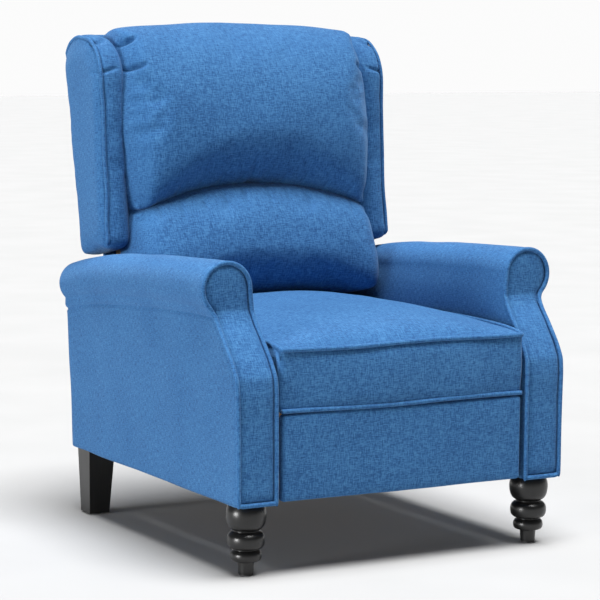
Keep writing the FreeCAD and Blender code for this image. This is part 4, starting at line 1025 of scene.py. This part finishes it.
def front_legs():
    """Turned front legs: a lathe profile spun round each leg's axis."""
    middle = ((FRONT_LEG.x0 + FRONT_LEG.x1) / 2, (FRONT_LEG.y0 + FRONT_LEG.y1) / 2)
    corners = [(radius * MM, FRONT_LEG.z0 + height * MM) for radius, height in LEG_TURNING]
    line = flowing(corners[1:-2], 120)
    line = np.vstack([corners[0], line, corners[-2], corners[-1]])
    turns = np.linspace(0, 2 * math.pi, 72, endpoint=False)
    grid = [[(middle[0] + radius * math.cos(t), middle[1] + radius * math.sin(t), height) for t in turns]
            for radius, height in line]
    bm = bmesh.new()
    add_grid(bm, grid, closed_columns=True)
    right = made("turned_leg_right", bm)
    left = mirrored("turned_leg_left", right)
    for thing, side in ((right, "right"), (left, "left")):
        place(thing, "base", FINISHES["leg_wood"])
        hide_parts("front_leg_" + side)


# ---- scene ----------------------------------------------------------------------------------------

def carried_over():
    """Give every CAD node its slot's material."""
    for row in frame["record"]["subparts"]:
        node = frame["nodes"][row["node"]]
        node.data.materials.clear()
        node.data.materials.append(FINISHES[row["material_slot"]])


def floor():
    """Plain pale floor."""
    bm = bmesh.new()
    bmesh.ops.create_grid(bm, x_segments=8, y_segments=8, size=30)
    ground = made("floor", bm)
    shader = Shader("pale_floor")
    where = shader.add("ShaderNodeTexCoord").outputs["Object"]
    cloud = shader.speckle(shader.scaled(where, (3.0, 3.0, 3.0)), 2.0)
    shader.join(shader.ramp(cloud, ((0.3, (0.42, 0.42, 0.42)), (0.7, (0.44, 0.44, 0.44)))),
                shader.surface.inputs["Base Color"])
    shader.surface.inputs["Roughness"].default_value = 0.9
    shader.surface.inputs["Specular IOR Level"].default_value = 0.1
    ground.data.materials.append(shader.material)


def sun(name, toward, angle, strength):
    """An even light from one direction, soft by its angle."""
    light = bpy.data.lights.new(name, "SUN")
    light.angle, light.energy = math.radians(angle), strength * math.pi
    holder = bpy.data.objects.new(name, light)
    holder.rotation_euler = Vector(toward).to_track_quat("-Z", "Y").to_euler()
    bpy.context.scene.collection.objects.link(holder)


def lights():
    """Soft studio light: a broad one overhead, a low one from the left, and a pale surround."""
    world = bpy.data.worlds.new("studio")
    world.use_nodes = True
    nodes, links = world.node_tree.nodes, world.node_tree.links
    background = nodes["Background"]
    place_on_sky = nodes.new("ShaderNodeTexCoord")
    climb = nodes.new("ShaderNodeSeparateXYZ")
    sky = nodes.new("ShaderNodeValToRGB")
    links.new(place_on_sky.outputs["Generated"], climb.inputs[0])
    links.new(climb.outputs[2], sky.inputs[0])
    links.new(sky.outputs[0], background.inputs["Color"])
    sky.color_ramp.elements[0].position, sky.color_ramp.elements[1].position = 0.03, 0.16
    sky.color_ramp.elements[0].color = (1, 1, 1, 1)
    sky.color_ramp.elements[1].color = (0.15, 0.155, 0.16, 1)
    background.inputs["Strength"].default_value = 0.97
    bpy.context.scene.world = world
    bpy.context.scene.view_settings.view_transform = "Standard"
    sun("overhead", (-0.05, 0.14, -1), 34, 2.0)
    sun("left", (1, 0.06, -0.06), 22, 1.08)


def camera():
    """Camera with its long lens."""
    lens = bpy.data.cameras.new("camera")
    lens.lens, lens.sensor_width = 143.28, 36
    holder = bpy.data.objects.new("camera", lens)
    turn, climb, roll = math.radians(-29.21), math.radians(6.35), math.radians(0.38)
    back = Vector((math.sin(turn) * math.cos(climb), -math.cos(turn) * math.cos(climb), math.sin(climb)))
    right = (-back).cross(Vector((0, 0, 1))).normalized()
    up = back.cross(right)
    side = right * math.cos(roll) + up * math.sin(roll)
    top = -right * math.sin(roll) + up * math.cos(roll)
    pose = Matrix((side, top, back)).transposed().to_4x4()
    pose.translation = (-2.27061, -4.07069, 0.96273)
    holder.matrix_world = pose
    bpy.context.scene.collection.objects.link(holder)
    bpy.context.scene.camera = holder


camera()
carried_over()
arms()
seat()
seat_piping()
footrest()
wings()
head_cushion()
lumbar_cushion()
rear_covers()
front_legs()
floor()
lights()
